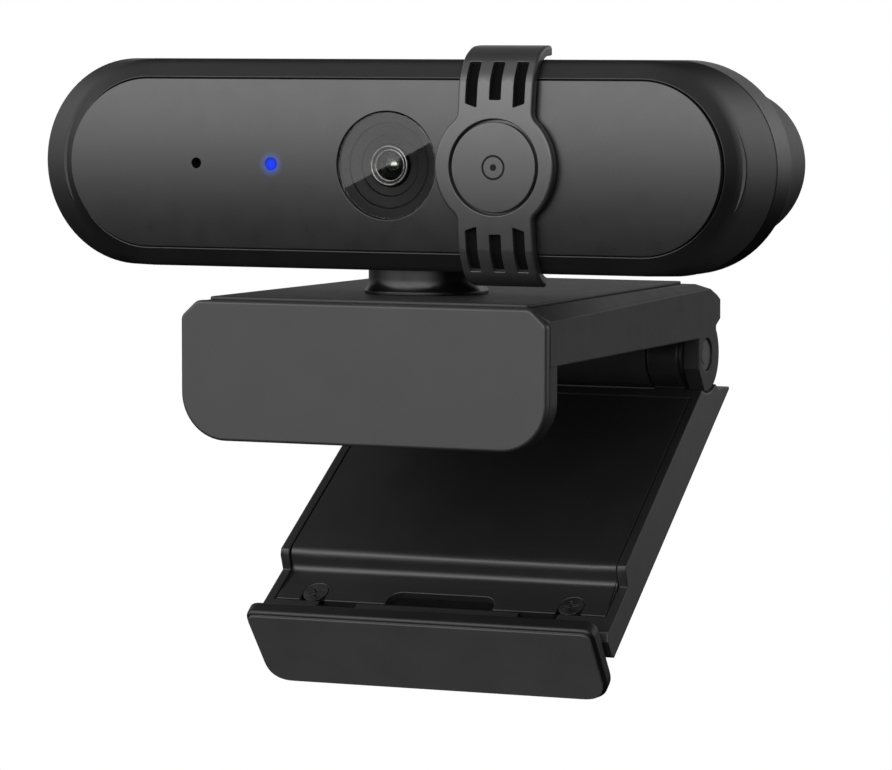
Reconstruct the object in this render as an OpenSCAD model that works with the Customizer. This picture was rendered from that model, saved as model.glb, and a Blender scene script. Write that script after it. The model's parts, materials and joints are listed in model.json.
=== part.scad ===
// Desk webcam on a swivel neck, with a folding clip that hangs on the top edge of a screen.
// Millimetres. X runs to the viewer's right, Y away from the viewer, Z up.
// The origin is on the pan axis, at the level of the rubber that rests on the screen's edge.

/* [Camera head] */
// Half of the head's overall length
head_half_len = 50; // [49:0.25:51]
// Half of the head's height
head_r = 13.14; // [12.9:0.02:13.2]
// Height of the lens axis above the rest pad
lens_z = 24.3; // [24.2:0.05:25]
// Distance of the lens window in front of the pan axis
front_y = -12.4; // [-12.6:0.1:-12.2]
// Half length of the front panel
panel_half_len = 44.27; // [43:0.01:44.5]
// Half height of the front panel
panel_r = 10.7; // [10.4:0.05:10.9]
// Depth by which the crowned panel falls away at its edge
panel_crown = 0.85; // [0.6:0.05:1]
// Depth of the seam between the bezel and the middle shell
seam_y = 4.25; // [4:0.05:4.5]
// Depth of the step from the middle shell to the rear housing
step_y = 10; // [9.5:0.1:10.4]
// Depth of the head's back wall
back_y = 26.2; // [26:0.1:27]
// Wall thickness of the head's shells
wall = 1.5; // [1.3:0.1:1.6]

/* [Lens] */
// Radius of the round lens window
window_r = 6.65; // [6.5:0.05:6.8]
// Outer radius of the lens barrel
barrel_r = 3.1; // [2.9:0.05:3.2]
// Radius of the front glass element
element_r = 1.75; // [1.6:0.05:1.85]

/* [Light and microphone] */
// Distance of the status light from the lens axis
light_x = -15.84; // [-17:0.01:-15]
// Radius of the status light
light_r = 0.75; // [0.6:0.05:0.9]
// Distance of the microphone hole from the lens axis
mic_x = -26.3; // [-28:0.1:-24]
// Radius of the microphone hole
mic_r = 0.65; // [0.5:0.05:0.8]

/* [Privacy cover] */
// Centre of the cover at rest
cover_x = 15.1; // [14.8:0.1:15.5]
// Half width of the cover's band
band_half_w = 5; // [4.8:0.1:5.1]
// Radius of the cover's round middle
cover_r = 7.95; // [7.6:0.05:8]
// Width of one slot in the band
slot_w = 1.5; // [1.2:0.1:1.6]
// Spacing of the slots
slot_pitch = 3.17; // [3:0.01:3.2]

/* [Neck] */
// Radius of the round neck
neck_r = 7.35; // [7.2:0.05:7.4]
// Height of the tilt pin above the rest pad
tilt_z = 18.8; // [18.6:0.1:19]
// Radius of the tilt pin
tilt_pin_r = 1.5; // [1.3:0.1:1.6]

/* [Clip] */
// Front face of the clip's cover plate
plate_y = -20; // [-20.4:0.1:-19.8]
// Half width of the clip at its front
clip_half_w = 24.7; // [24.5:0.05:24.9]
// Half width of the clip at its hinge
clip_rear_half_w = 23.1; // [22.9:0.05:23.2]
// Height of the bracket's top face
clip_top_z = 7.5; // [7.4:0.05:7.6]
// Depth of the front lip below the rest pad
lip_drop = 10; // [9.5:0.1:10.2]
// Hinge axis of the leg, distance behind the pan axis
hinge_y = 39.1; // [38.9:0.1:39.3]
// Hinge axis of the leg, height against the rest pad
hinge_z = -1.9; // [-2:0.05:-1.8]

/* [Leg and foot] */
// Angle of the open leg below level, as it is stored
leg_angle = 34.4; // [34.4:0.1:36]
// Depth of the leg's front face below the hinge axis
leg_front = 2.5; // [2.4:0.05:2.6]
// Depth of the leg's back face below the hinge axis
leg_back = 9.05; // [9:0.05:9.2]
// Distance of the step in the leg's front from the hinge
leg_step = 40.6; // [40:0.1:41]
// Distance of the foot's pin from the hinge
foot_reach = 48.9; // [48.7:0.1:49.1]
// Lean of the foot against the leg at rest
foot_angle = 2.9; // [0:0.1:3]
// Half width of the foot
foot_half_w = 24.2; // [23.8:0.1:24.3]

/* [Hidden] */
$fn = 64;

slit = 0.05;                    // play between two pieces that are fixed together
far = 80;                       // longer than any cut needs to be
crown_r = (panel_r * panel_r + panel_crown * panel_crown) / (2 * panel_crown);
panel_cx = panel_half_len - panel_r;
shell_cx = head_half_len - head_r;
pivot_y = -front_y;             // tilt axis seen from the lens window
pivot_z = tilt_z - lens_z;
board_y = 6;                    // front face of the circuit board
board_t = 1.2;
board_back = board_y + board_t;
felt_r = 5;                     // felt ring behind the privacy cover, and its seat
felt_seat = -0.36;
boss_x = 34;                    // case screws and their bosses, each side of the lens axis
boss_r = 2.6;
pilot_r = 0.85;                 // pilot bores for the small screws

lip_y = plate_y + 1.6;          // outer face of the lip, behind the cover plate and its gap
lip_in = lip_y + 2.2;           // inner face of the lip
wall_foot = 0.4;                // lower edge of the side walls above the rest pad
cheek_x = 21;                   // inner face of the hinge cheeks
knuckle_r = 4.6;
cheek_r = 4.86;
hinge_bore = 1.3;
clip_taper = (clip_half_w - clip_rear_half_w) / (hinge_y - plate_y);
roof = 2.45;                    // thickness of the bracket's top

leg_end = 50.6;                 // end of the leg from the hinge
low_front = 5.15;               // front face of the leg below its step, under the hinge axis
pin_depth = 7.1;                // foot pin under the hinge axis
leg_wall = 1.3;
foot_pin_r = 1;
insert_u = 24;                  // tripod insert from the hinge

// ---------- small helpers ----------

// an outline in X and Z, extruded from y0 to y1
module along_y(y0, y1) {
    translate([0, y1, 0])
        rotate([90, 0, 0])
            linear_extrude(height = y1 - y0) children();
}

// an outline in Y and Z, extruded from x0 to x1
module along_x(x0, x1) {
    translate([x0, 0, 0])
        rotate([90, 0, 90])
            linear_extrude(height = x1 - x0) children();
}

module rod_x(r, x0, x1) {
    translate([x0, 0, 0])
        rotate([0, 90, 0])
            cylinder(r = r, h = x1 - x0);
}

module rod_y(r, y0, y1) {
    translate([0, y0, 0])
        rotate([-90, 0, 0])
            cylinder(r = r, h = y1 - y0);
}

module cone_y(r0, r1, y0, y1) {
    translate([0, y0, 0])
        rotate([-90, 0, 0])
            cylinder(r1 = r0, r2 = r1, h = y1 - y0);
}

module block(x, y, z) {
    translate([x[0], y[0], z[0]])
        cube([x[1] - x[0], y[1] - y[0], z[1] - z[0]]);
}

module both_sides() {
    children();
    mirror([1, 0, 0]) children();
}

// a bar with round ends
module stadium(half_len, r) {
    square([2 * (half_len - r), 2 * r], center = true);
    for (s = [-1, 1])
        translate([s * (half_len - r), 0]) circle(r = r);
}

module stadium_slab(half_len, r, y0, y1) {
    along_y(y0, y1) stadium(half_len, r);
}

module rounded_rect(w, h, r) {
    translate([-w / 2 + r, -h / 2]) square([w - 2 * r, h]);
    translate([-w / 2, -h / 2 + r]) square([w, h - 2 * r]);
    for (i = [-1, 1], j = [-1, 1])
        translate([i * (w / 2 - r), j * (h / 2 - r)]) circle(r = r);
}

function arc(cy, cz, r, a0, a1, n) =
    [for (i = [0 : n]) let (a = a0 + (a1 - a0) * i / n) [cy + r * cos(a), cz + r * sin(a)]];

// a screw with its head at y 0 and its shank towards +Y
module screw_y(head_r, head_h, shank_r, length) {
    difference() {
        rod_y(head_r, 0, head_h);
        for (a = [0, 90])
            rotate([0, a, 0])
                block([-head_r * 0.55, head_r * 0.55], [-1, head_h * 0.45], [-head_r * 0.11, head_r * 0.11]);
    }
    rod_y(shank_r, head_h, length);
}

// ---------- camera head, drawn from the middle of the lens window ----------

module in_head() {
    translate([0, front_y, lens_z]) children();
}

// depth of the crowned front at height z, for a crown that stands lift in front of the panel
function crown_y(lift, z) = crown_r - sqrt(pow(crown_r + lift, 2) - z * z);
function crown_line(lift, z0, z1, n) =
    [for (i = [0 : n]) let (z = z0 + (z1 - z0) * i / n) [crown_y(lift, z), z]];

// a stadium with a crowned front and a flat back
module crowned_slab(r, back) {
    along_x(-panel_cx, panel_cx)
        polygon(concat([[back, r], [back, -r]], crown_line(0, -r, r, 16)));
    for (s = [-1, 1])
        translate([s * panel_cx, 0, 0]) rotate([-90, 0, 0]) rotate_extrude()
            polygon(concat([[0, back], [r, back]], [for (p = crown_line(0, r, 0, 8)) [p[1], p[0]]]));
}

// space that the neck sweeps in the head's floor as the head tilts
module neck_opening() {
    opening_r = neck_r + 0.85;
    translate([0, pivot_y, -head_r - 3])
        cylinder(r = opening_r, h = 9);
    block([-opening_r, opening_r], [pivot_y, pivot_y + 10.2], [-head_r - 3, -head_r + 6]);
}

module front_panel() {
    color([0.17, 0.17, 0.18])
        in_head() difference() {
            union() {
                crowned_slab(panel_r - 0.1, 2.5);
                for (x = [-boss_x, boss_x])
                    translate([x, 0, 0]) rod_y(boss_r - 0.4, 2.4, board_y - slit);
            }
            for (x = [-boss_x, boss_x])
                translate([x, 0, 0]) rod_y(pilot_r, 3, far);
            rod_y(window_r + 0.1, -2, 4);
            translate([light_x, 0, 0]) rod_y(light_r + slit, -2, 4);
            translate([mic_x, 0, 0]) rod_y(mic_r, -2, 4);
        }
}

module front_bezel() {
    color([0.12, 0.12, 0.13])
        in_head() difference() {
            union() {
                hull() {
                    stadium_slab(panel_half_len + 0.15, panel_r + 0.15, 0.85, 0.95);
                    stadium_slab(46, head_r, 2.4, seam_y);
                }
                hull() {
                    stadium_slab(46, head_r, 2.35, 2.45);
                    stadium_slab(head_half_len, head_r, seam_y - 0.1, seam_y);
                }
                stadium_slab(head_half_len - wall - 0.2, head_r - wall - 0.2, seam_y - 0.1, seam_y + 1.4);
            }
            stadium_slab(panel_half_len, panel_r, -1, 2.6);
            stadium_slab(panel_half_len - 1.2, panel_r - 1.2, 2.5, 3.9);
            stadium_slab(head_half_len - 2 * wall - 0.4, head_r - 2 * wall - 0.2, 3.8, 7);
            neck_opening();
        }
}

module mid_shell() {
    color([0.1, 0.1, 0.11])
        in_head() difference() {
            stadium_slab(head_half_len - 0.2, head_r - 0.04, seam_y + 0.25, step_y);
            stadium_slab(head_half_len - wall - 0.1, head_r - wall - 0.1, 0, step_y - 1.2);
            stadium_slab(46.4, 8.6, 0, step_y + 1);
            neck_opening();
        }
}

module rear_housing() {
    screw_seat = back_y - 3.2;
    color([0.12, 0.12, 0.13])
        in_head() difference() {
            union() {
                difference() {
                    hull() {
                        stadium_slab(head_half_len - 0.7, 10.4, step_y, step_y + 0.1);
                        stadium_slab(46.6, 9.4, back_y - 1.9, back_y - 1.8);
                        stadium_slab(45.0, 7.8, back_y - 0.1, back_y);
                    }
                    hull() {
                        stadium_slab(head_half_len - 0.7 - wall, 10.4 - wall, step_y - 1, step_y + 0.1);
                        stadium_slab(46.6 - wall, 9.4 - wall, back_y - wall - 0.1, back_y - wall);
                    }
                }
                for (x = [-boss_x, boss_x])
                    translate([x, 0, 0]) rod_y(boss_r, board_back + 0.1, back_y - 1);
            }
            for (x = [-boss_x, boss_x])
                translate([x, 0, 0]) {
                    rod_y(pilot_r, 0, far);
                    rod_y(1.85, screw_seat, far);
                }
            rod_y(2.6, back_y - 4, far);
            neck_opening();
        }
}

module lens_window() {
    color([0.2, 0.21, 0.23, 0.4])
        in_head() rod_y(window_r, 0.25, 0.7);
}

module lens_surround() {
    // three shallow cones lead the eye in to the barrel
    ring = [6.5, 5.25, 3.75, 2.65];
    color([0.14, 0.14, 0.15])
        in_head() difference() {
            rod_y(window_r, 0.75, 2.45);
            cone_y(ring[0], ring[1], 0.7, 1.05);
            cone_y(ring[1], ring[2], 1.0, 1.3);
            cone_y(ring[2], ring[3], 1.25, 1.7);
            rod_y(ring[3], 0, 3);
        }
}

module lens_barrel() {
    color([0.08, 0.08, 0.09])
        in_head() difference() {
            union() {
                rod_y(2.55, 1.35, 2.6);
                rod_y(barrel_r, 2.6, 5.3);
            }
            rod_y(element_r + 0.2, 1, 1.8);
            rod_y(1.2, 1, 6);
        }
}

module lens_trim_ring() {
    color([0.55, 0.56, 0.58])
        in_head() difference() {
            rod_y(2.5, 1.05, 1.3);
            rod_y(element_r + 0.2, 0, 2);
        }
}

module lens_element() {
    // a thick front glass with a domed face
    dome_r = 2.6;
    glass_r = element_r + 0.15;
    rim = asin(glass_r / dome_r);
    color([0.25, 0.3, 0.4, 0.5])
        in_head() translate([0, 1.15, 0]) rotate([-90, 0, 0]) rotate_extrude()
            polygon(concat(
                [[0, 0.62], [glass_r, 0.62]],
                [for (i = [6 : -1 : 0]) [dome_r * sin(rim * i / 6), dome_r * (1 - cos(rim * i / 6)) - 0.25]]
            ));
}

module lens_holder() {
    color([0.06, 0.06, 0.07])
        in_head() difference() {
            union() {
                block([-4.6, 4.6], [4, board_y - slit], [-4.6, 4.6]);
                rod_y(4, 2.65, 4.1);
            }
            rod_y(barrel_r + slit, 2, 5.35);
            block([-3.2, 3.2], [5.2, board_y + 1], [-3, 3]);
        }
}

module image_sensor() {
    color([0.2, 0.25, 0.35])
        in_head() block([-2.9, 2.9], [board_y - 0.6, board_y - 0.02], [-2.6, 2.6]);
}

module main_board() {
    color([0.05, 0.25, 0.12])
        in_head() difference() {
            stadium_slab(40, 8.4, board_y, board_back);
            for (x = [-boss_x, boss_x])
                translate([x, 0, 0]) rod_y(1.1, 0, far);
            for (x = [-22, 22])
                translate([x, 0, 5]) rod_y(0.9, 0, far);
        }
}

module processor_chip() {
    color([0.05, 0.05, 0.05])
        in_head() block([-24, -16], [board_back, board_back + 0.9], [-5, 3]);
}

module board_connector() {
    color([0.85, 0.84, 0.78])
        in_head() difference() {
            block([14, 24], [board_back, board_back + 3.4], [-3, 2]);
            block([14.8, 23.2], [board_back + 1, board_back + 5], [-2.2, 1.2]);
        }
}

module board_screws() {
    color([0.6, 0.6, 0.62])
        in_head() for (x = [-22, 22])
            translate([x, board_back + 1.1, 5])
                mirror([0, 1, 0]) screw_y(1.5, 1, 0.8, 3.4);
}

module status_light() {
    color([0.1, 0.3, 1])
        in_head() translate([light_x, 0, 0]) {
            rod_y(light_r, 0.05, 2.5);
            rod_y(1.3, 2.55 - slit, 4.2);
        }
}

module light_chip() {
    color([0.9, 0.9, 0.8])
        in_head() block([light_x - 0.8, light_x + 0.8], [board_y - 0.8, board_y], [-0.5, 0.5]);
}

module microphone() {
    color([0.75, 0.7, 0.55])
        in_head() translate([mic_x, 0, 0]) rod_y(2, board_y - 1.2, board_y);
}

module mic_gasket() {
    color([0.05, 0.05, 0.05])
        in_head() translate([mic_x, 0, 0]) difference() {
            rod_y(2.2, 2.55, board_y - 1.25);
            rod_y(mic_r + 0.1, 2, board_y);
        }
}

module case_screws() {
    color([0.35, 0.35, 0.36])
        in_head() for (x = [-boss_x, boss_x])
            translate([x, back_y - 2, 0])
                mirror([0, 1, 0]) screw_y(1.7, 1.15, 0.8, 20.8);
}

module cable_grommet() {
    color([0.05, 0.05, 0.05])
        in_head() difference() {
            union() {
                rod_y(2.55, back_y - 2.4, back_y + 0.02);
                cone_y(3.5, 3.1, back_y + 0.02, back_y + 1);
                rod_y(3.3, back_y - 2.4, back_y - wall - slit);
            }
            rod_y(1.9, 0, far);
        }
}

module tilt_cradle() {
    // an arch over the neck's knuckle, with one ear on each side and a post up to the housing's roof
    color([0.2, 0.2, 0.21])
        in_head() translate([0, pivot_y, pivot_z]) difference() {
            union() {
                block([-8.2, 8.2], [-3.2, 3.2], [4.6, 6.6]);
                block([-3.2, 3.2], [-2.8, 2.8], [6.5, 13.9]);
                both_sides() {
                    block([5.25, 8.2], [-3.2, 3.2], [0, 5]);
                    rod_x(3.2, 5.25, 8.2);
                }
            }
            rod_x(tilt_pin_r + slit, -far, far);
        }
}

module tilt_pin() {
    color([0.7, 0.7, 0.72])
        in_head() translate([0, pivot_y, pivot_z]) {
            rod_x(tilt_pin_r, -9, 9);
            both_sides() rod_x(2.3, 8.25, 9);
        }
}

// ---------- privacy cover ----------

// side outline of the band: a crowned front, two bends and two hooks
function hook_outer(s, tip) = [
    [-0.62, s * 11.3], [-0.05, s * 12.5], [1.1, s * 13.65], [2.3, s * 14.4],
    [3.6, s * 14.85], [tip - 0.5, s * 14.9], [tip, s * 14.5], [tip, s * 13.5]
];
function hook_inner(s) = [[2.7, s * 13.45], [2.15, s * 13.25], [0.68, s * 10.9]];
function reversed(list) = [for (i = [len(list) - 1 : -1 : 0]) list[i]];

module band_side() {
    polygon(concat(
        crown_line(1.5, -9.6, 9.6, 12), hook_outer(1, 5.8), hook_inner(1),
        crown_line(0.15, 9.6, -9.6, 12), reversed(hook_inner(-1)), reversed(hook_outer(-1, 4.2))
    ));
}

module band_slot(x, z_in, slant) {
    polygon([
        [x - slot_w / 2, z_in - slant], [x + slot_w / 2, z_in + slant],
        [x + slot_w / 2, 12.9], [x - slot_w / 2, 12.9]
    ]);
}

module band_front() {
    difference() {
        union() {
            square([2 * band_half_w, 40], center = true);
            circle(r = cover_r);
        }
        for (s = [0, 1])
            mirror([0, s]) {
                band_slot(-slot_pitch, 7.6, -0.2);
                band_slot(0, 8.3, 0);
                band_slot(slot_pitch, 7.6, 0.2);
            }
    }
}

module privacy_cover() {
    color([0.2, 0.2, 0.21])
        in_head() translate([cover_x, 0, 0]) difference() {
            intersection() {
                along_x(-20, 20) band_side();
                along_y(-3, 8) band_front();
            }
            rod_y(5.93, -3, -0.65);
            difference() {
                rod_y(felt_r + slit, felt_seat, 3);
                rod_y(felt_r - 1.5, -3, 4);
            }
        }
}

module cover_disc() {
    color([0.22, 0.22, 0.23])
        in_head() translate([cover_x, 0, 0]) intersection() {
            rod_y(5.6, -3, -0.7);
            along_x(-8, 8) polygon(concat([[1, 9], [1, -9]], crown_line(1.5, -9, 9, 14)));
        }
}

module cover_felt() {
    // a thin felt ring on the back of the cover that keeps it off the glass
    color([0.05, 0.05, 0.05])
        in_head() translate([cover_x, 0, 0]) difference() {
            rod_y(felt_r, felt_seat + 0.01, -0.1);
            rod_y(felt_r - 1.45, -1, 1);
        }
}

// ---------- neck ----------

module neck_post() {
    base = clip_top_z + 0.45;
    shoulder = lens_z - 11.2;
    color([0.1, 0.1, 0.11]) difference() {
        union() {
            rotate_extrude()
                polygon([
                    [0, base], [neck_r + 0.5, base], [neck_r + 0.5, base + 0.35], [neck_r + 0.3, base + 0.65],
                    [neck_r + 0.05, base + 1.2], [neck_r, base + 1.9], [neck_r, shoulder - 0.6],
                    [neck_r - 0.6, shoulder], [0, shoulder]
                ]);
            translate([0, 0, clip_top_z - roof - 0.7]) cylinder(r = 4, h = roof + 2);
            translate([0, 0, tilt_z]) rod_x(3.6, -4.6, 4.6);
            block([-4.6, 4.6], [-3.6, 3.6], [shoulder - 1, tilt_z]);
        }
        translate([0, 0, tilt_z]) rod_x(tilt_pin_r + slit, -far, far);
        translate([0, 0, -1]) cylinder(r = 1.25, h = 12);
    }
}

module tilt_washers() {
    color([0.75, 0.75, 0.76])
        translate([0, 0, tilt_z]) both_sides() difference() {
            rod_x(3, 4.65, 5.15);
            rod_x(tilt_pin_r + slit, 0, 9);
        }
}

module pan_washer() {
    top = clip_top_z - roof - 0.72;
    color([0.75, 0.75, 0.76]) difference() {
        translate([0, 0, top - 0.6]) cylinder(r = 6.4, h = 0.6);
        translate([0, 0, top - 2]) cylinder(r = 1.25, h = 4);
    }
}

module pan_spring() {
    color([0.6, 0.6, 0.62]) difference() {
        translate([0, 0, clip_top_z - roof - 0.65]) cylinder(r = 6, h = 0.6);
        translate([0, 0, 0]) cylinder(r = 4.1, h = 9);
    }
}

module pan_screw() {
    top = clip_top_z - roof - 0.72 - 0.6 - 0.02;
    color([0.6, 0.6, 0.62])
        translate([0, 0, top - 1.3]) rotate([90, 0, 0]) screw_y(2.7, 1.3, 1.2, 8.4);
}

// ---------- clip ----------

// plan of the clip, narrower towards its hinge; inset draws it smaller
module clip_plan(inset, y0, y1) {
    function half_w(y) = clip_half_w - clip_taper * (y - plate_y) - inset;
    polygon([
        [-half_w(y0), y0], [half_w(y0), y0], [half_w(y1), y1], [-half_w(y1), y1]
    ]);
}

module clip_prism(inset, y0, y1, z0, z1) {
    translate([0, 0, z0])
        linear_extrude(height = z1 - z0) clip_plan(inset, y0, y1);
}

// side outline of the bracket, with the round cheek at its hinge
module bracket_side() {
    polygon(concat(
        [
            [lip_y, wall_foot], [lip_y, clip_top_z], [38.4, clip_top_z], [43, 5.9], [44.5, 5.2],
            [44.5, 2.65], [hinge_y + 3.7, hinge_z + 3.7]
        ],
        arc(hinge_y, hinge_z, cheek_r, 40, -100, 18),
        [[36, hinge_z - 1.7], [36, wall_foot]]
    ));
}

// bevels along the top of the side walls
module bracket_front(w) {
    polygon([
        [-w, -12], [w, -12], [w, clip_top_z - 1.6], [w - 3, clip_top_z],
        [-w + 3, clip_top_z], [-w, clip_top_z - 1.6]
    ]);
}

// outline of the lip and its cover plate: bevelled above, round below
module lip_outline(w, top, bottom, r) {
    polygon(concat(
        [[w, top - 2], [w - 2.2, top], [-w + 2.2, top], [-w, top - 2]],
        arc(-w + r, bottom + r, r, 180, 270, 8),
        arc(w - r, bottom + r, r, 270, 360, 8)
    ));
}

module clip_bracket() {
    knuckle_x = 16.1;
    color([0.13, 0.13, 0.14]) difference() {
        union() {
            difference() {
                intersection() {
                    along_x(-30, 30) bracket_side();
                    clip_prism(0, plate_y, 50, -20, 20);
                    along_y(-30, 60) bracket_front(clip_half_w);
                }
                difference() {
                    clip_prism(1.9, lip_in, hinge_y - 3.2, -20, clip_top_z - roof);
                    for (x = [-17, 17], y = [-11, 26])
                        translate([x, y, 1.65]) cylinder(r = 2.4, h = 9);
                }
                block([-cheek_x, cheek_x], [hinge_y - 3.3, 42.6], [-20, clip_top_z - roof]);
                block([-cheek_x, cheek_x], [42, 60], [-20, 2.7]);
            }
            intersection() {
                along_y(lip_y, lip_in) lip_outline(clip_half_w - 0.1, clip_top_z - 0.1, -lip_drop, 6);
                clip_prism(0, plate_y, 50, -20, 20);
            }
            translate([0, hinge_y, hinge_z]) rod_x(knuckle_r, -knuckle_x, knuckle_x);
            block([-knuckle_x, knuckle_x], [hinge_y - 2.6, 43], [hinge_z + 1, clip_top_z - roof + 0.1]);
        }
        translate([0, hinge_y, hinge_z]) rod_x(hinge_bore + slit, -far, far);
        translate([0, hinge_y, hinge_z]) both_sides() rod_x(2.2, clip_rear_half_w - 0.9, far);
        cylinder(r = 4.05, h = 20);
        for (x = [-15, 15])
            translate([x, 0, -1]) rod_y(1.55, lip_y - 1, lip_y + 1.5);
        for (x = [-17, 17], y = [-11, 26])
            translate([x, y, 0]) cylinder(r = 0.9, h = 4.6);
    }
}

module top_plate() {
    color([0.15, 0.15, 0.16]) difference() {
        clip_prism(3.05, lip_y + 0.2, 37.6, clip_top_z + 0.02, clip_top_z + 0.4);
        cylinder(r = 4.2, h = 20);
    }
}

module cover_plate() {
    color([0.2, 0.2, 0.21]) {
        along_y(plate_y, plate_y + 1.2) lip_outline(clip_half_w, clip_top_z, -lip_drop, 6);
        for (x = [-15, 15])
            translate([x, 0, -1]) rod_y(1.5, plate_y + 1, lip_y + 1.4);
    }
}

module lip_pad() {
    color([0.07, 0.07, 0.07])
        translate([0, 0, -4.6])
            along_y(lip_in + 0.02, lip_in + 0.7) rounded_rect(38, 7.6, 1.5);
}

module base_plate() {
    color([0.1, 0.1, 0.11]) difference() {
        clip_prism(2, lip_in + 0.1, 33, wall_foot, 1.6);
        translate([0, 6.5, wall_foot - 1]) linear_extrude(height = 1.5) rounded_rect(29.2, 40.2, 2.1);
        for (x = [-17, 17], y = [-11, 26])
            translate([x, y, 0]) {
                cylinder(r = 1, h = 4);
                cylinder(r = 1.8, h = 0.9);
            }
    }
}

module base_screws() {
    color([0.35, 0.35, 0.36])
        for (x = [-17, 17], y = [-11, 26])
            translate([x, y, wall_foot + 0.02]) {
                difference() {
                    cylinder(r = 1.7, h = 0.46);
                    for (a = [0, 90])
                        rotate([0, 0, a]) block([-0.9, 0.9], [-0.18, 0.18], [-1, 0.22]);
                }
                cylinder(r = 0.85, h = 4);
            }
}

module rest_pad() {
    color([0.07, 0.07, 0.07])
        translate([0, 6.5, 0]) linear_extrude(height = 0.88) rounded_rect(29, 40, 2);
}

module hinge_pin() {
    color([0.7, 0.7, 0.72])
        translate([0, hinge_y, hinge_z]) {
            rod_x(hinge_bore, -clip_rear_half_w + 0.2, clip_rear_half_w - 0.2);
            both_sides() rod_x(2.1, clip_rear_half_w - 0.85, clip_rear_half_w - 0.25);
        }
}

module hinge_washers() {
    color([0.75, 0.75, 0.76])
        translate([0, hinge_y, hinge_z]) both_sides() difference() {
            rod_x(4, 20.65, 20.95);
            rod_x(hinge_bore + slit, 0, 40);
        }
}

// ---------- leg and foot, drawn folded level and then swung open about the hinge ----------

module in_leg() {
    translate([0, hinge_y, hinge_z]) rotate([leg_angle, 0, 0]) children();
}

// half width of the leg at a distance from the hinge
function leg_half_w(u) = 23.2 + 0.026 * u;

module leg_plan(inset, u0, u1) {
    polygon([
        [-leg_half_w(u0) + inset, -u0], [leg_half_w(u0) - inset, -u0],
        [leg_half_w(u1) - inset, -u1], [-leg_half_w(u1) + inset, -u1]
    ]);
}

module leg_prism(inset, u0, u1, z0, z1) {
    translate([0, 0, z0])
        linear_extrude(height = z1 - z0) leg_plan(inset, u0, u1);
}

// side outline of the leg from its tail behind the hinge to its bevelled end
module leg_side() {
    polygon([
        [4.1, -leg_back], [4.2, -leg_back + 0.35], [2.4, -7.35], [0.9, -6.5], [-1.2, -leg_front],
        [-leg_step + 0.6, -leg_front], [-leg_step, -leg_front - 0.6], [-leg_step - 0.5, -low_front],
        [-leg_end + 0.9, -low_front], [-leg_end, -low_front - 0.9], [-leg_end, -leg_back + 0.5],
        [-leg_end + 0.5, -leg_back]
    ]);
}

module foot_notches() {
    both_sides()
        block([11.3, 16.7], [-leg_end - 1, -foot_reach + 2.3], [-20, 0]);
}

module leg_frame() {
    color([0.12, 0.12, 0.13])
        in_leg() difference() {
            union() {
                difference() {
                    intersection() {
                        along_x(-30, 30) leg_side();
                        leg_prism(0, -6, leg_end + 1, -20, 10);
                    }
                    // the pan that the leg panel closes
                    leg_prism(leg_wall + 1.2, 8, 46, -7.45, 0);
                    // the panel's own seat along the front
                    leg_prism(leg_wall - 0.1, 6, leg_step + 0.7, -leg_front - 1.3, 0);
                    leg_prism(leg_wall - 0.1, leg_step - 1, 46.9, -low_front - 1.3, 0);
                    // clearance round the cheeks and the bracket's knuckle
                    rod_x(5.1, -30, 30);
                }
                both_sides() {
                    rod_x(knuckle_r, 16.4, 20.6);
                    block([16.4, 20.6], [-6.05, -1], [-7.5, -2.5]);
                }
                for (x = [-17.9, 17.9])
                    translate([x, -45.2, -8]) cylinder(r = 1.9, h = 8 - low_front - 1.35);
                translate([0, -insert_u, -8]) cylinder(r = 5.6, h = 8 - leg_front - 1.4);
            }
            rod_x(hinge_bore + slit, -far, far);
            for (x = [-17.9, 17.9])
                translate([x, -45.2, -8.4]) cylinder(r = 0.85, h = 8);
            translate([0, -insert_u, -leg_back - 1]) cylinder(r = 4.25, h = 6);
            translate([0, -foot_reach, -pin_depth]) rod_x(foot_pin_r + slit, -22.5, 22.5);
            foot_notches();
        }
}

module leg_panel() {
    color([0.09, 0.09, 0.1])
        in_leg() difference() {
            intersection() {
                along_x(-30, 30) polygon([
                    [-6.2, -leg_front], [-leg_step + 0.6, -leg_front], [-leg_step, -leg_front - 0.6],
                    [-leg_step - 0.5, -low_front], [-46.7, -low_front], [-46.7, -low_front - 1.2],
                    [-leg_step + 0.6, -low_front - 1.2], [-leg_step + 0.9, -leg_front - 1.2],
                    [-6.2, -leg_front - 1.2]
                ]);
                leg_prism(leg_wall + 0.05, 0, 60, -20, 10);
            }
            for (x = [-17.9, 17.9])
                translate([x, -45.2, -20]) {
                    cylinder(r = 1, h = 40);
                    translate([0, 0, 20 - low_front - 0.62]) cylinder(r = 1.72, h = 9);
                }
            hull() for (x = [-5.7, 5.7])
                translate([x, -46.1, -20]) cylinder(r = 1.8, h = 40, $fn = 32);
        }
}

module leg_screws() {
    color([0.18, 0.18, 0.19])
        in_leg() for (x = [-17.9, 17.9])
            translate([x, -45.2, -low_front + 0.02]) {
                difference() {
                    translate([0, 0, -0.62]) cylinder(r = 1.66, h = 0.62);
                    for (a = [20, 110])
                        rotate([0, 0, a]) block([-0.95, 0.95], [-0.19, 0.19], [-0.3, 1]);
                }
                translate([0, 0, -2.8]) cylinder(r = 0.8, h = 2.5);
            }
}

module tripod_insert() {
    color([0.72, 0.58, 0.3])
        in_leg() translate([0, -insert_u, -leg_back]) difference() {
            cylinder(r = 4.2, h = 4.95);
            translate([0, 0, -1]) cylinder(r = 2.56, h = 9);
        }
}

module foot_pin() {
    color([0.7, 0.7, 0.72])
        in_leg() translate([0, -foot_reach, -pin_depth]) rod_x(foot_pin_r, -22.4, 22.4);
}

module in_foot() {
    in_leg() translate([0, -foot_reach, -pin_depth]) rotate([foot_angle, 0, 0]) children();
}

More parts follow.
